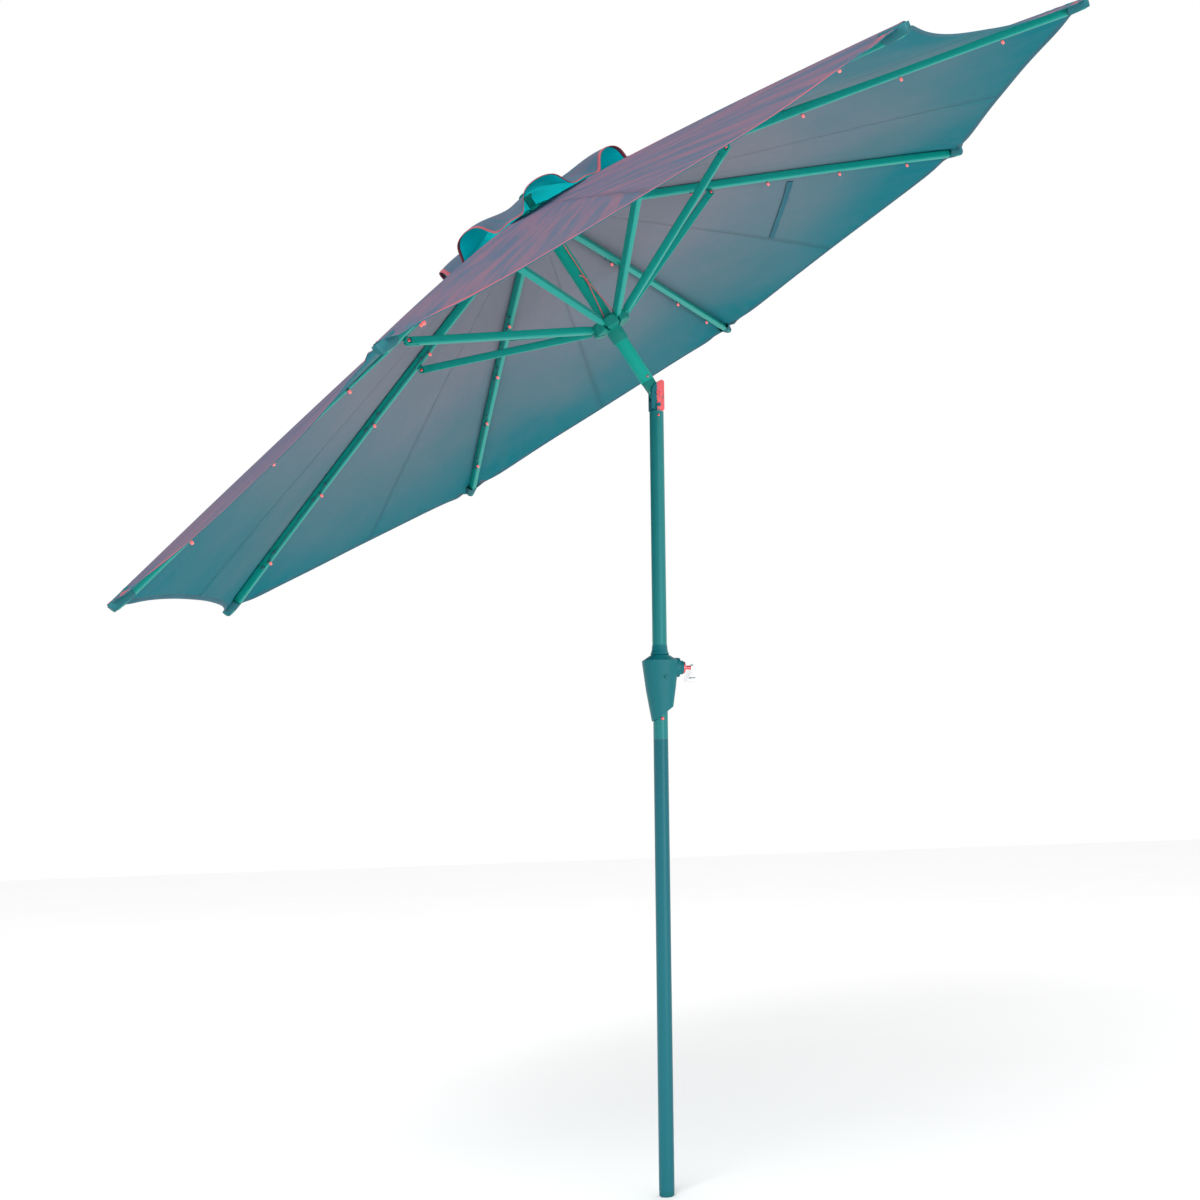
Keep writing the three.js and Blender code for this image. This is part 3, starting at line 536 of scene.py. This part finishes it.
# ---- CAD nodes that stay, with smooth sides, crisp edges and a finish ---------------------------
KEPT = {
    "foot_plug": PLUG_PLASTIC, "pole_connector": BRIGHT_METAL, "lock_button": BRIGHT_METAL,
    "housing_screw": HOUSING_PLASTIC, "crank_spindle": BRIGHT_METAL, "pole_rivet": BRIGHT_METAL,
    "tilt_fork": JOINT_METAL, "tilt_pin": BRIGHT_METAL, "tilt_button": HOUSING_PLASTIC,
    "tilt_tongue": HUB_PLASTIC, "tongue_screw": BRIGHT_METAL, "top_hub": HUB_PLASTIC,
    "crown_wire": BRIGHT_METAL, "runner": HUB_PLASTIC, "runner_wire": BRIGHT_METAL,
    "lower_pole": POLE_PAINT, "middle_pole": MIDDLE_PAINT_LIGHTENED_FOR_SHADE, "upper_pole": UPPER_PAINT_LIGHTENED_FOR_SHADE,
    "crank_housing": HOUSING_PLASTIC, "housing_collar": HOUSING_PLASTIC,
    "crank_arm": HANDLE_METAL, "crank_knob": HANDLE_METAL, "finial": HUB_PLASTIC,
}


def dress(node, material):
    obj = frame["nodes"][node]
    obj.data.materials.clear()
    obj.data.materials.append(material)
    obj.data.polygons.foreach_set("use_smooth", [True] * len(obj.data.polygons))
    weld = obj.modifiers.new("weld", "WELD")
    weld.merge_threshold = 0.01 * MM
    split = obj.modifiers.new("crisp_edges", "EDGE_SPLIT")
    split.split_angle = math.radians(28)


for node_name, node_material in KEPT.items():
    dress(node_name, node_material)


# ---- canopy -------------------------------------------------------------------------------------
def hem_at(across):
    """Where the cloth ends, along the rib, at a share of the way to mid-panel."""
    return RIB_SPAN - HEM_SAG * (1 - (1 - abs(across)) ** HEM_POWER)


def panel_point(s, across, rise):
    """A point of the cloth stretched straight from one rib to the next, in the arm's frame."""
    x, z = rib_point(s)
    share = 0.5 * abs(across)
    side = math.copysign(1.0, across)
    return Vector((x * (1 - share + share * math.cos(STEP)),
                   x * share * math.sin(STEP) * side, z + rise))


def cloth_relief(s, across, k):
    """How far the cloth stands off the straight stretch: hollow panels, tip folds, seam ridge.
    By mid-panel, where the next sector carries on, the uneven parts fade out and the hollow and
    the hang level off."""
    half = rib_point(s)[0] * math.sin(STEP / 2)
    away = abs(across)
    off = away * half
    fade = (1 - away) ** 2 * (1 + 2 * away)
    run = min(1.0, max(0.0, (s - VENT_HOLE) / (RIB_SPAN - VENT_HOLE)))
    hollow = -9 * MM * math.sin(math.pi * run ** 0.8) * (1 - (1 - away) ** 2)
    ridge = 0.9 * MM * math.exp(-((off / (3.5 * MM)) ** 2))
    reach = RIB_SPAN - s
    near_tip = math.exp(-reach / 0.17) * smoothstep(0.0, 0.012, off) * fade
    angle = math.atan2(off, reach + 0.03)
    side = math.copysign(1.0, across)
    folds = 4.2 * MM * near_tip * math.sin(13 * angle + 0.9 * k + side) * math.exp(-0.6 * angle)
    pucker = 0.8 * MM * math.exp(-off / 0.022) * smoothstep(0, 0.006, off)
    pucker *= math.sin(2 * math.pi * s / 0.031 + 1.7 * k + 2.0 * math.sin(s * 23 + k)) * fade
    slack = 2.2 * MM * math.sin(9.0 * s + 2.3 * k) * math.sin(math.pi * away) ** 2
    hang = -HEM_DROOP * (1 - (1 - away) ** DROOP_POWER) * run ** 2
    return hollow + ridge + folds + pucker + slack + hang


ROWS = 96
SIDE_STEPS = (0, 1.6, 3.2, 5.0, 8.0, 13.0, 20.0, 30.0)  # millimetres from the seam
SIDE_SHARES = 18


def across_values(s):
    """Shares across one side of a sector: close together by the seam, then even."""
    half = rib_point(s)[0] * math.sin(STEP / 2)
    first = [d * MM / half for d in SIDE_STEPS]
    rest = np.linspace(first[-1], 1.0, SIDE_SHARES)[1:]
    return first + list(rest)


def sector_cloth(k):
    """Half a gore each side of seam k: an outer and an inner face, closed at hem and vent."""
    cols = 2 * (len(SIDE_STEPS) + SIDE_SHARES - 1) - 1
    layers = {1: [], -1: []}
    uvs = {1: [], -1: []}
    for r in range(ROWS):
        t = r / (ROWS - 1)
        t = t + 0.10 * math.sin(math.pi * t) * math.sin(math.pi * t)
        s_mid = VENT_HOLE + (RIB_SPAN - VENT_HOLE) * t
        side = across_values(s_mid)
        values = [-a for a in side[:0:-1]] + side
        for a in values:
            s = VENT_HOLE + (hem_at(a) - VENT_HOLE) * t
            centre = CLOTH_RISE / math.cos(DROOP_AT_HUB + BEND * s) + cloth_relief(s, a, k)
            for face in (1, -1):
                p = panel_point(s, a, centre + face * CLOTH / 2)
                layers[face].append(p)
                uvs[face].append((s, p.y))
    verts = layers[1] + layers[-1]
    count = ROWS * cols
    faces = grid_faces(ROWS, cols) + grid_faces(ROWS, cols, flip=True, start=count)
    kinds = [0] * ((ROWS - 1) * (cols - 1)) + [1] * ((ROWS - 1) * (cols - 1))
    last = (ROWS - 1) * cols
    for c in range(cols - 1):
        faces.append((last + c, last + c + 1, count + last + c + 1, count + last + c))
        faces.append((c + 1, c, count + c, count + c + 1))
        kinds += [0, 0]
    for r in range(ROWS - 1):
        a, b = r * cols, (r + 1) * cols
        faces.append((a, b, count + b, count + a))
        faces.append((b + cols - 1, a + cols - 1, count + a + cols - 1, count + b + cols - 1))
        kinds += [0, 0]
    return make(f"canopy_cloth_{k}", verts, faces, [OUTER_CLOTH, INNER_CLOTH_WITH_PAINTED_LIGHT],
                uvs[1] + uvs[-1], kinds, arm(k), walls=2 * (cols - 1) + 2 * (ROWS - 1))


def hem_band(k):
    """The folded edge: a soft flat roll along the hem, a little thicker than the cloth."""
    samples = 61
    section = [(0.0, 0.9), (0.25, 1.25), (0.7, 1.15), (1.0, 0.75), (1.0, -0.75), (0.7, -1.2),
               (0.25, -1.3), (0.0, -0.9)]
    verts, uvs, length = [], [], 0.0
    before = None
    for i in range(samples):
        a = -1 + 2 * i / (samples - 1)
        edge = hem_at(a)
        here = panel_point(edge, a, 0)
        length += (here - before).length if before is not None else 0.0
        before = here
        for depth, height in section:
            s = edge + 1.2 * MM - HEM_WIDTH * depth
            rise = CLOTH_RISE / math.cos(DROOP_AT_TIP) + cloth_relief(s, a, k)
            verts.append(panel_point(s, a, rise + height * MM))
            uvs.append((length, HEM_WIDTH * depth))
    count = len(section)
    faces = grid_faces(samples, count, wrap=True, flip=True)
    kinds = [0 if f % count < 4 else 1 for f in range(len(faces))]
    return make(f"hem_{k}", verts, faces, [OUTER_TAPE, SEAM_TAPE], uvs, kinds, arm(k))


def tip_pocket(k):
    """The sewn pocket that holds the rib's end: a sleeve under the cloth, narrow at the tip."""
    stations, uvs = [], []
    steps, around = 14, 22
    for i in range(steps):
        t = i / (steps - 1)
        s = RIB_SPAN - POCKET + (POCKET - 3 * MM) * t
        wide = (19 - 8.5 * t) * MM
        deep = (13.0 - 5.0 * t * t) * MM
        ring = []
        for j in range(around):
            a = math.pi * j / (around - 1)
            crumple = 0.5 * MM * math.sin(5 * a + 3 * t + k) * math.sin(a)
            y = -wide * math.cos(a)
            rise = CLOTH_RISE - CLOTH - (deep + RIB_HALF_HEIGHT + crumple) * math.sin(a) ** 0.55
            x, z = rib_point(s, max(rise, -RIB_HALF_HEIGHT - 4 * MM))
            ring.append((x, y, z))
            uvs.append((y + s, 6 * MM * (j / around)))
        stations.append(ring)
    verts = [p for ring in stations for p in ring]
    faces = grid_faces(steps, around)
    last = (steps - 1) * around
    faces.append(tuple(last + j for j in range(around)))
    obj = make(f"tip_pocket_{k}", verts, faces, [POCKET_CLOTH], uvs, None, arm(k))
    skin = obj.modifiers.new("thickness", "SOLIDIFY")
    skin.thickness = 0.9 * MM
    skin.offset = 0
    return obj


def canopy():
    for k in range(1, RIBS + 1):
        cloth, hem, pocket = sector_cloth(k), hem_band(k), tip_pocket(k)
        for piece in (cloth, hem, pocket):
            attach(piece, f"rib_{k}")
            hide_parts(f"canopy_{k}")
        for piece in (cloth, hem):
            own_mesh(piece)


# ---- vent cap -----------------------------------------------------------------------------------
def cap_opening(angle):
    """How far open a gore's arch is, from 0 beside the ribs to 1 midway."""
    from_middle = abs((angle / STEP) % 1.0 - 0.5)
    return max(0.0, math.cos(math.pi * from_middle / CAP_ARCH_SHARE)) ** CAP_ARCH_POWER


def cap_height(radius, angle):
    """The cap's middle surface above the rib pivots: a low cone, arched between the ribs."""
    edge = rib_point(CAP_RADIUS - RIB_PIVOT_RADIUS)[1] + CLOTH_RISE + 4.5 * MM
    t = max(0.0, (radius - CAP_FLAT) / (CAP_RADIUS - CAP_FLAT))
    lift = smoothstep(CAP_ARCH_START, CAP_RADIUS * 1.05, radius)
    puff = CAP_PUFF * math.sin(math.pi * min(1.0, t))
    return CAP_RISE + (edge - CAP_RISE) * t + puff + CAP_ARCH * lift * cap_opening(angle)


def cap_point(radius, angle, lift=0.0):
    """A point of the cap's middle surface, raised by lift."""
    open_share = cap_opening(angle)
    t = (radius - CAP_HOLE) / (CAP_RADIUS - CAP_HOLE)
    wide = radius * (1 + 0.03 * t * t * (open_share - 0.5))
    sway = angle + 0.035 * t * t * math.sin(2 * RIBS * angle)
    ripple = 1.5 * MM * t * t * math.sin(5 * RIBS * angle + 1.3) * (1 - open_share)
    return Vector((wide * math.cos(sway), wide * math.sin(sway),
                   cap_height(radius, angle) + ripple + lift))


def vent_cap():
    """The cap that covers the vent hole, with its folded hem."""
    rows, cols = 44, CAP_COLUMNS
    verts, uvs = [], []
    for face in (1, -1):
        for r in range(rows):
            radius = CAP_HOLE + (CAP_RADIUS - CAP_HOLE) * r / (rows - 1)
            for c in range(cols):
                angle = 2 * math.pi * c / cols
                p = cap_point(radius, angle, face * CLOTH / 2)
                verts.append(p)
                uvs.append((p.x, p.y))
    count = rows * cols
    faces = grid_faces(rows, cols, wrap=True)
    faces += grid_faces(rows, cols, wrap=True, flip=True, start=count)
    kinds = [0] * ((rows - 1) * cols) + [1] * ((rows - 1) * cols)
    last = (rows - 1) * cols
    for c in range(cols):
        d = (c + 1) % cols
        faces.append((last + c, last + d, count + last + d, count + last + c))
        faces.append((d, c, count + c, count + d))
        kinds += [0, 0]
    cap = make("vent_cap_cloth", verts, faces, [CAP_OUTER, CAP_INNER_WITH_PAINTED_GLOW], uvs, kinds, arm(1),
               walls=2 * cols)
    hem = cap_hem()
    for piece in (cap, hem):
        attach(piece, "upper_mast")
        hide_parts("vent_cap")


def cap_hem():
    """The folded edge of the cap."""
    cols = CAP_COLUMNS
    section = [(0.0, 0.8), (0.5, 1.2), (1.0, 0.7), (1.0, -0.7), (0.5, -1.2), (0.0, -0.8)]
    verts, uvs = [], []
    for c in range(cols):
        angle = 2 * math.pi * c / cols
        for depth, height in section:
            radius = CAP_RADIUS + 0.8 * MM - CAP_HEM_WIDTH * depth
            verts.append(cap_point(radius, angle, height * MM))
            uvs.append((angle * CAP_RADIUS, CAP_HEM_WIDTH * depth))
    count = len(section)
    faces = []
    for c in range(cols):
        for i in range(count):
            a, b = c * count + i, c * count + (i + 1) % count
            d = (c + 1) % cols * count
            faces.append((a, b, d + (i + 1) % count, d + i))
    return make("vent_cap_hem", verts, [f[::-1] for f in faces], [OUTER_TAPE], uvs, None, arm(1))


# ---- ribs, struts and lights --------------------------------------------------------------------
def rib_section(s, outline):
    """An outline of (side, rise) pairs, stood across the rib at s."""
    section = []
    for y, rise in outline:
        x, z = rib_point(s, rise)
        section.append((x, y, z))
    return section


def rib_tube():
    """The rib's painted tube, with its pressed end, the tab in the hub and the strut's lug."""
    stations = []
    for i in range(50):
        s = RIB_BODY_START + (RIB_END - RIB_BODY_START) * i / 49
        ends = min(1.0, (s - RIB_BODY_START) / (5 * MM) + 0.55, (RIB_END - s) / (12 * MM) + 0.5)
        wide = RIB_WIDTH / 2 * ends
        tall = RIB_HALF_HEIGHT * (0.75 + 0.25 * ends)
        ring = []
        for y, rise in rounded_box(wide, tall, min(3.4 * MM, 0.6 * wide)):
            x, z = rib_point(s, rise)
            ring.append((x, -y, z))
        stations.append(ring)
    tube = swept(stations)
    tab_outline = rounded_box(TAB_WIDTH / 2, 0.98 * TAB_RADIUS, 1 * MM)
    tab = swept([rib_section(s, tab_outline) for s in (0.0, RIB_BODY_START + 4 * MM)])
    eye = cross_disc(TAB_RADIUS, TAB_WIDTH, RIB_PIVOT_RADIUS, 0)
    x, z = rib_point(STRUT_JOINT, -LUG_DROP)
    lug_end = cross_disc(LUG_RADIUS, LUG_WIDTH, x, z)
    lug_outline = ((LUG_WIDTH / 2, 0), (-LUG_WIDTH / 2, 0),
                   (-LUG_WIDTH / 2, -LUG_DROP), (LUG_WIDTH / 2, -LUG_DROP))
    lug = swept([rib_section(s, lug_outline)
                 for s in (STRUT_JOINT - LUG_RADIUS, STRUT_JOINT + LUG_RADIUS)])
    return joined([tube, tab, eye, lug, lug_end])


def strut_place():
    """The strut's own frame in the arm's, x from the runner's wire to the rivet, and its length."""
    runner_pivot = strut_pivot()
    x, z = rib_point(STRUT_JOINT, -LUG_DROP)
    run = Vector((x - runner_pivot[0], 0, z - runner_pivot[1]))
    turn = Matrix.Rotation(-math.atan2(run.z, run.x), 4, "Y")
    return Matrix.Translation((runner_pivot[0], 0, runner_pivot[1])) @ turn, run.length


def strut_pivot():
    """Radius and height below the rib pivots of the runner's wire, from the wire's own box."""
    wire = frame["nodes"]["runner_wire"].data
    inverse = MAST.inverted()
    points = [inverse @ v.co for v in wire.vertices]
    radii = [math.hypot(p.x, p.y) for p in points]
    heights = [p.z for p in points]
    return (min(radii) + max(radii)) / 2, (min(heights) + max(heights)) / 2 - HUB_HEIGHT


def strut_bar():
    """The strut: an eye on the runner's wire, a tube, and a fork for the rib's lug."""
    place, length = strut_place()
    start, fork = 20 * MM, length - 24 * MM
    stations = []
    for i in range(22):
        x = start + (fork - start) * i / 21
        ends = min(1.0, 0.6 + (x - start) / (8 * MM))
        stations.append([(x, y, z) for y, z in rounded_box(
            STRUT_WIDTH / 2 * ends, STRUT_HALF_HEIGHT, 2.6 * MM)])
    bar = swept([s[::-1] for s in stations])
    tab = swept([[(x, y, z) for y, z in rounded_box(TAB_WIDTH / 2, 5 * MM, 1 * MM)][::-1]
                 for x in (0.0, start + 4 * MM)])
    eye = cross_disc(TAB_RADIUS, TAB_WIDTH, 0, 0)
    inner = LUG_WIDTH / 2 + 0.4 * MM
    thick = STRUT_WIDTH / 2 - inner
    cheeks = []
    for side in (-1, 1):
        y = side * (inner + thick / 2)
        cheeks.append(cross_disc(STRUT_HALF_HEIGHT, thick, length, 0, y))
        outline = rounded_box(thick / 2, STRUT_HALF_HEIGHT, 0.8 * MM)[::-1]
        cheeks.append(swept([[(x, y + dy, z) for dy, z in outline]
                             for x in (fork - 2 * MM, length)]))
    return moved(joined([bar, tab, eye, *cheeks]), place)


def strut_rivet():
    place, length = strut_place()
    shank = cross_disc(2.5 * MM, STRUT_WIDTH, length, 0)
    out = STRUT_WIDTH / 2 + 0.5 * MM
    heads = [cross_disc(4.2 * MM, 0.6 * MM, length, 0, y, dome=1.0 * MM) for y in (-out, out)]
    return moved(joined([shank, *heads]), place)


def light_wire():
    """The thin wire of the lights, a little slack between its clips."""
    points = []
    start, end = LIGHT_STEPS[0] - 20 * MM, LIGHT_STEPS[-1] + 12 * MM
    for i in range(90):
        s = start + (end - start) * i / 89
        slack = 1.4 * MM * math.sin(s * 46) ** 2
        x, z = rib_point(s, -5.3 * MM - slack)
        points.append((x, LIGHT_SIDE - 0.6 * MM, z))
    return tube_along(points, 1.1 * MM, 8)


def light_clips():
    """Two small clips for the wire at each light."""
    outline = rounded_box(2.2 * MM, 4.4 * MM, 1 * MM)
    clip = swept([[(x, y, z) for y, z in outline] for x in (-4 * MM, 4 * MM)])
    clips = []
    for s in LIGHT_STEPS:
        for off in (-26 * MM, 30 * MM):
            x, z = rib_point(s + off, -4 * MM)
            clips.append(moved(clip, Matrix.Translation((x, LIGHT_SIDE - 1.2 * MM, z))))
    return joined(clips)


def light_bulbs():
    """The lenses, and the bases they sit in."""
    bulbs, bases = [], []
    for s in LIGHT_STEPS:
        x, z = rib_point(s)
        place = Matrix.Translation((x, LIGHT_SIDE, z))
        lens = rounded([(0.05 * MM, -21 * MM), (2.6 * MM, -20.4 * MM), (3.7 * MM, -18 * MM),
                        (3.7 * MM, -14 * MM), (2.6 * MM, -12 * MM)], 1.4 * MM)
        base = rounded([(2.6 * MM, -12.4 * MM), (3.3 * MM, -12 * MM), (3.1 * MM, -8 * MM),
                        (2.2 * MM, -6.6 * MM), (2.0 * MM, -4.6 * MM),
                        (0.05 * MM, -4.2 * MM)], 0.6 * MM)
        bulbs.append(moved(turned(lens, 20), place))
        bases.append(moved(turned(base, 20), place))
    return joined(bulbs), joined(bases)


def spokes():
    """Each arm's rib, strut and lights, riding on the rib or the strut."""
    tube, bar, rivet = rib_tube(), strut_bar(), strut_rivet()
    wire, clips = light_wire(), light_clips()
    bulbs, bases = light_bulbs()
    for k in range(1, RIBS + 1):
        at = arm(k)
        pieces = (
            ("rib_tube", tube, FRAME_PAINT, f"rib_{k}", "frame_paint", f"rib_{k}", 40),
            ("strut_bar", bar, FRAME_PAINT, f"strut_{k}", "frame_paint", f"strut_{k}", 40),
            ("strut_rivet", rivet, BRIGHT_METAL, f"strut_{k}", "bright_metal", f"strut_{k}", 40),
            ("light_wire", wire, BULB_BASE, f"rib_{k}", "light_plastic", f"lights_{k}", None),
            ("light_clips", clips, BULB_BASE, f"rib_{k}", "light_plastic", f"lights_{k}", 40),
            ("light_bulbs", bulbs, BULB_WITH_PAINTED_GLOW, f"rib_{k}", "light_plastic", f"lights_{k}", None),
            ("light_bases", bases, BULB_BASE, f"rib_{k}", "light_plastic", f"lights_{k}", 40),
        )
        for name, (verts, faces), paint, body, slot, node, sharp in pieces:
            obj = make(f"{name}_{k}", verts, faces, [paint], place=at, sharp=sharp)
            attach(obj, body)
            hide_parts(node)


# ---- strap and cord -----------------------------------------------------------------------------
STRAP_FROM = (0.807, 0.17)  # its ends: along the second rib, and the share of the way to mid-panel
STRAP_TO = (0.997, 0.97)
STRAP_WIDTH = 22 * MM


def closing_strap():
    """A flat strap that runs straight across half a panel, just under the cloth. It is laid where
    the cloth shows a soft darker band, most likely shade, so it is partly painted shade in the
    shape of a strap.
    """
    start, end = panel_point(*STRAP_FROM, 0), panel_point(*STRAP_TO, 0)
    rows, cols, half = 60, 7, STRAP_WIDTH / 2
    length = (end - start).length
    verts, uvs = [], []
    for r in range(rows):
        t = r / (rows - 1)
        x, y = (start[axis] + (end[axis] - start[axis]) * t for axis in (0, 1))
        share = y / x / (math.sin(STEP) + y / x * (1 - math.cos(STEP)))
        a = 2 * share
        s = rib_reach(x / (1 - share * (1 - math.cos(STEP))))
        for c in range(cols):
            off = half * (2 * c / (cols - 1) - 1)
            rise = CLOTH_RISE / math.cos(DROOP_AT_TIP) - 2.6 * MM + cloth_relief(s + off, a, 2)
            rise -= 1.0 * MM * math.sin(14 * t) ** 2
            verts.append(panel_point(s + off, a, rise))
            uvs.append((t * length, off + half))
    obj = make("strap_painted_shade", verts, grid_faces(rows, cols), [SEAM_TAPE], uvs, None, arm(2))
    skin = obj.modifiers.new("thickness", "SOLIDIFY")
    skin.thickness = 1.2 * MM
    skin.offset = 0
    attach(obj, "rib_2")
    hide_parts("closing_strap")
    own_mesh(obj)


CORD_AZIMUTH = math.radians(-82)
CORD_SPREAD = math.radians(38)  # from the cord down the pole to each leg's foot, round the mast
CORD_OUT = 23 * MM  # the cord's distance from the mast's axis
CORD_TOP = 0.462  # heights above the tilt joint
CORD_KNOT = 0.337
RUNNER_TOP = 0.2283


def mast_point(radius, angle, height):
    return Vector((radius * math.cos(angle), radius * math.sin(angle), height))


def lift_cord():
    """The cord from its hole in the pole to the knot, and the two legs to the runner."""
    knot = mast_point(CORD_OUT, CORD_AZIMUTH, CORD_KNOT)
    down = [mast_point(6 * MM, CORD_AZIMUTH, CORD_TOP + 1 * MM),
            mast_point(18 * MM, CORD_AZIMUTH, CORD_TOP),
            mast_point(CORD_OUT, CORD_AZIMUTH, CORD_TOP - 12 * MM),
            mast_point(CORD_OUT, CORD_AZIMUTH, CORD_TOP - 60 * MM), knot]
    legs = [[knot, mast_point(CORD_OUT + 1 * MM, CORD_AZIMUTH + side * CORD_SPREAD * 0.55,
                              (CORD_KNOT + RUNNER_TOP) / 2),
             mast_point(CORD_OUT + 4 * MM, CORD_AZIMUTH + side * CORD_SPREAD, RUNNER_TOP)]
            for side in (-1, 1)]
    tail = [knot, mast_point(CORD_OUT + 3 * MM, CORD_AZIMUTH - 0.24, CORD_KNOT + 12 * MM),
            mast_point(CORD_OUT + 7 * MM, CORD_AZIMUTH - 0.45, CORD_KNOT + 16 * MM)]
    strands = [tube_along(curve_through(line), 1.4 * MM, 12) for line in (down, *legs, tail)]
    turns = []
    for i in range(60):
        a = 2 * math.pi * i / 20
        turns.append(knot + Vector((2.6 * MM * math.cos(a), 2.2 * MM * math.sin(a),
                                    (i / 60 - 0.5) * 5 * MM)))
    strands.append(tube_along(turns, 1.3 * MM, 10))
    verts, faces = joined(strands)
    uvs = [(v[2], math.atan2(v[1] - knot.y, v[0] - knot.x) * 2 * MM) for v in verts]
    obj = make("lift_cord_braid", verts, faces, [CORD], uvs, None, MAST)
    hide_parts("lift_cord")
    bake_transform(obj)


canopy()
vent_cap()
spokes()
closing_strap()
lift_cord()


# ---- room, light and camera ---------------------------------------------------------------------
def plain(name, colour):
    n = Nodes(name, 0.9)
    grain = n.noise(n.coordinates("Object", (1, 1, 1)), 1.2, 2.0)
    return n.finish(n.mix(grain, linear(*colour), linear(*[0.985 * c for c in colour])))


def floor():
    size = 30.0
    verts = [(-size, -size, 0), (size, -size, 0), (size, size, 0), (-size, size, 0)]
    obj = make("floor", verts, [(0, 1, 2, 3)], [plain("pale_floor", (250, 250, 250))])


def soft_light(name, place, aim, size, power):
    data = bpy.data.lights.new(name, "AREA")
    data.energy = power
    data.shape = "DISK"
    data.size = size
    obj = bpy.data.objects.new(name, data)
    obj.location = place
    obj.rotation_euler = (Vector(aim) - Vector(place)).to_track_quat("-Z", "Y").to_euler()
    bpy.context.scene.collection.objects.link(obj)


CAMERA_PLACE = (-0.9548, -3.3943, 0.8485)
CAMERA_YAW, CAMERA_PITCH, CAMERA_ROLL = 0.3431, 0.1845, -0.0259
CAMERA_SHIFT = (-0.1296, -0.0402)
LENS = 42.965
SENSOR = 36


def camera():
    """The photograph's viewpoint: turned from +Y by yaw, then raised by pitch and rolled."""
    flat = math.cos(CAMERA_PITCH)
    forward = Vector((math.sin(CAMERA_YAW) * flat, math.cos(CAMERA_YAW) * flat,
                      math.sin(CAMERA_PITCH)))
    flat_right = Vector((math.cos(CAMERA_YAW), -math.sin(CAMERA_YAW), 0))
    flat_up = flat_right.cross(forward)
    right = flat_right * math.cos(CAMERA_ROLL) + flat_up * math.sin(CAMERA_ROLL)
    up = flat_up * math.cos(CAMERA_ROLL) - flat_right * math.sin(CAMERA_ROLL)
    data = bpy.data.cameras.new("camera")
    data.sensor_width = SENSOR
    data.lens = LENS
    data.shift_x, data.shift_y = CAMERA_SHIFT
    obj = bpy.data.objects.new("camera", data)
    turn = Matrix((right, up, -forward)).transposed()
    obj.matrix_world = Matrix.Translation(CAMERA_PLACE) @ turn.to_4x4()
    bpy.context.scene.collection.objects.link(obj)
    bpy.context.scene.camera = obj


def world():
    room = bpy.data.worlds.new("room")
    room.use_nodes = True
    sky = room.node_tree.nodes["Background"]
    sky.inputs["Color"].default_value = (1, 1, 1, 1)
    sky.inputs["Strength"].default_value = 1.0
    bpy.context.scene.world = room
    bpy.context.scene.view_settings.view_transform = "Standard"


floor()
soft_light("key", (-5.0, -7.0, 8.0), (0, 0, 1.6), 6.0, 700)
soft_light("low_fill", (2.5, -6.0, 0.8), (0, 0, 2.0), 4.0, 120)
world()
camera()
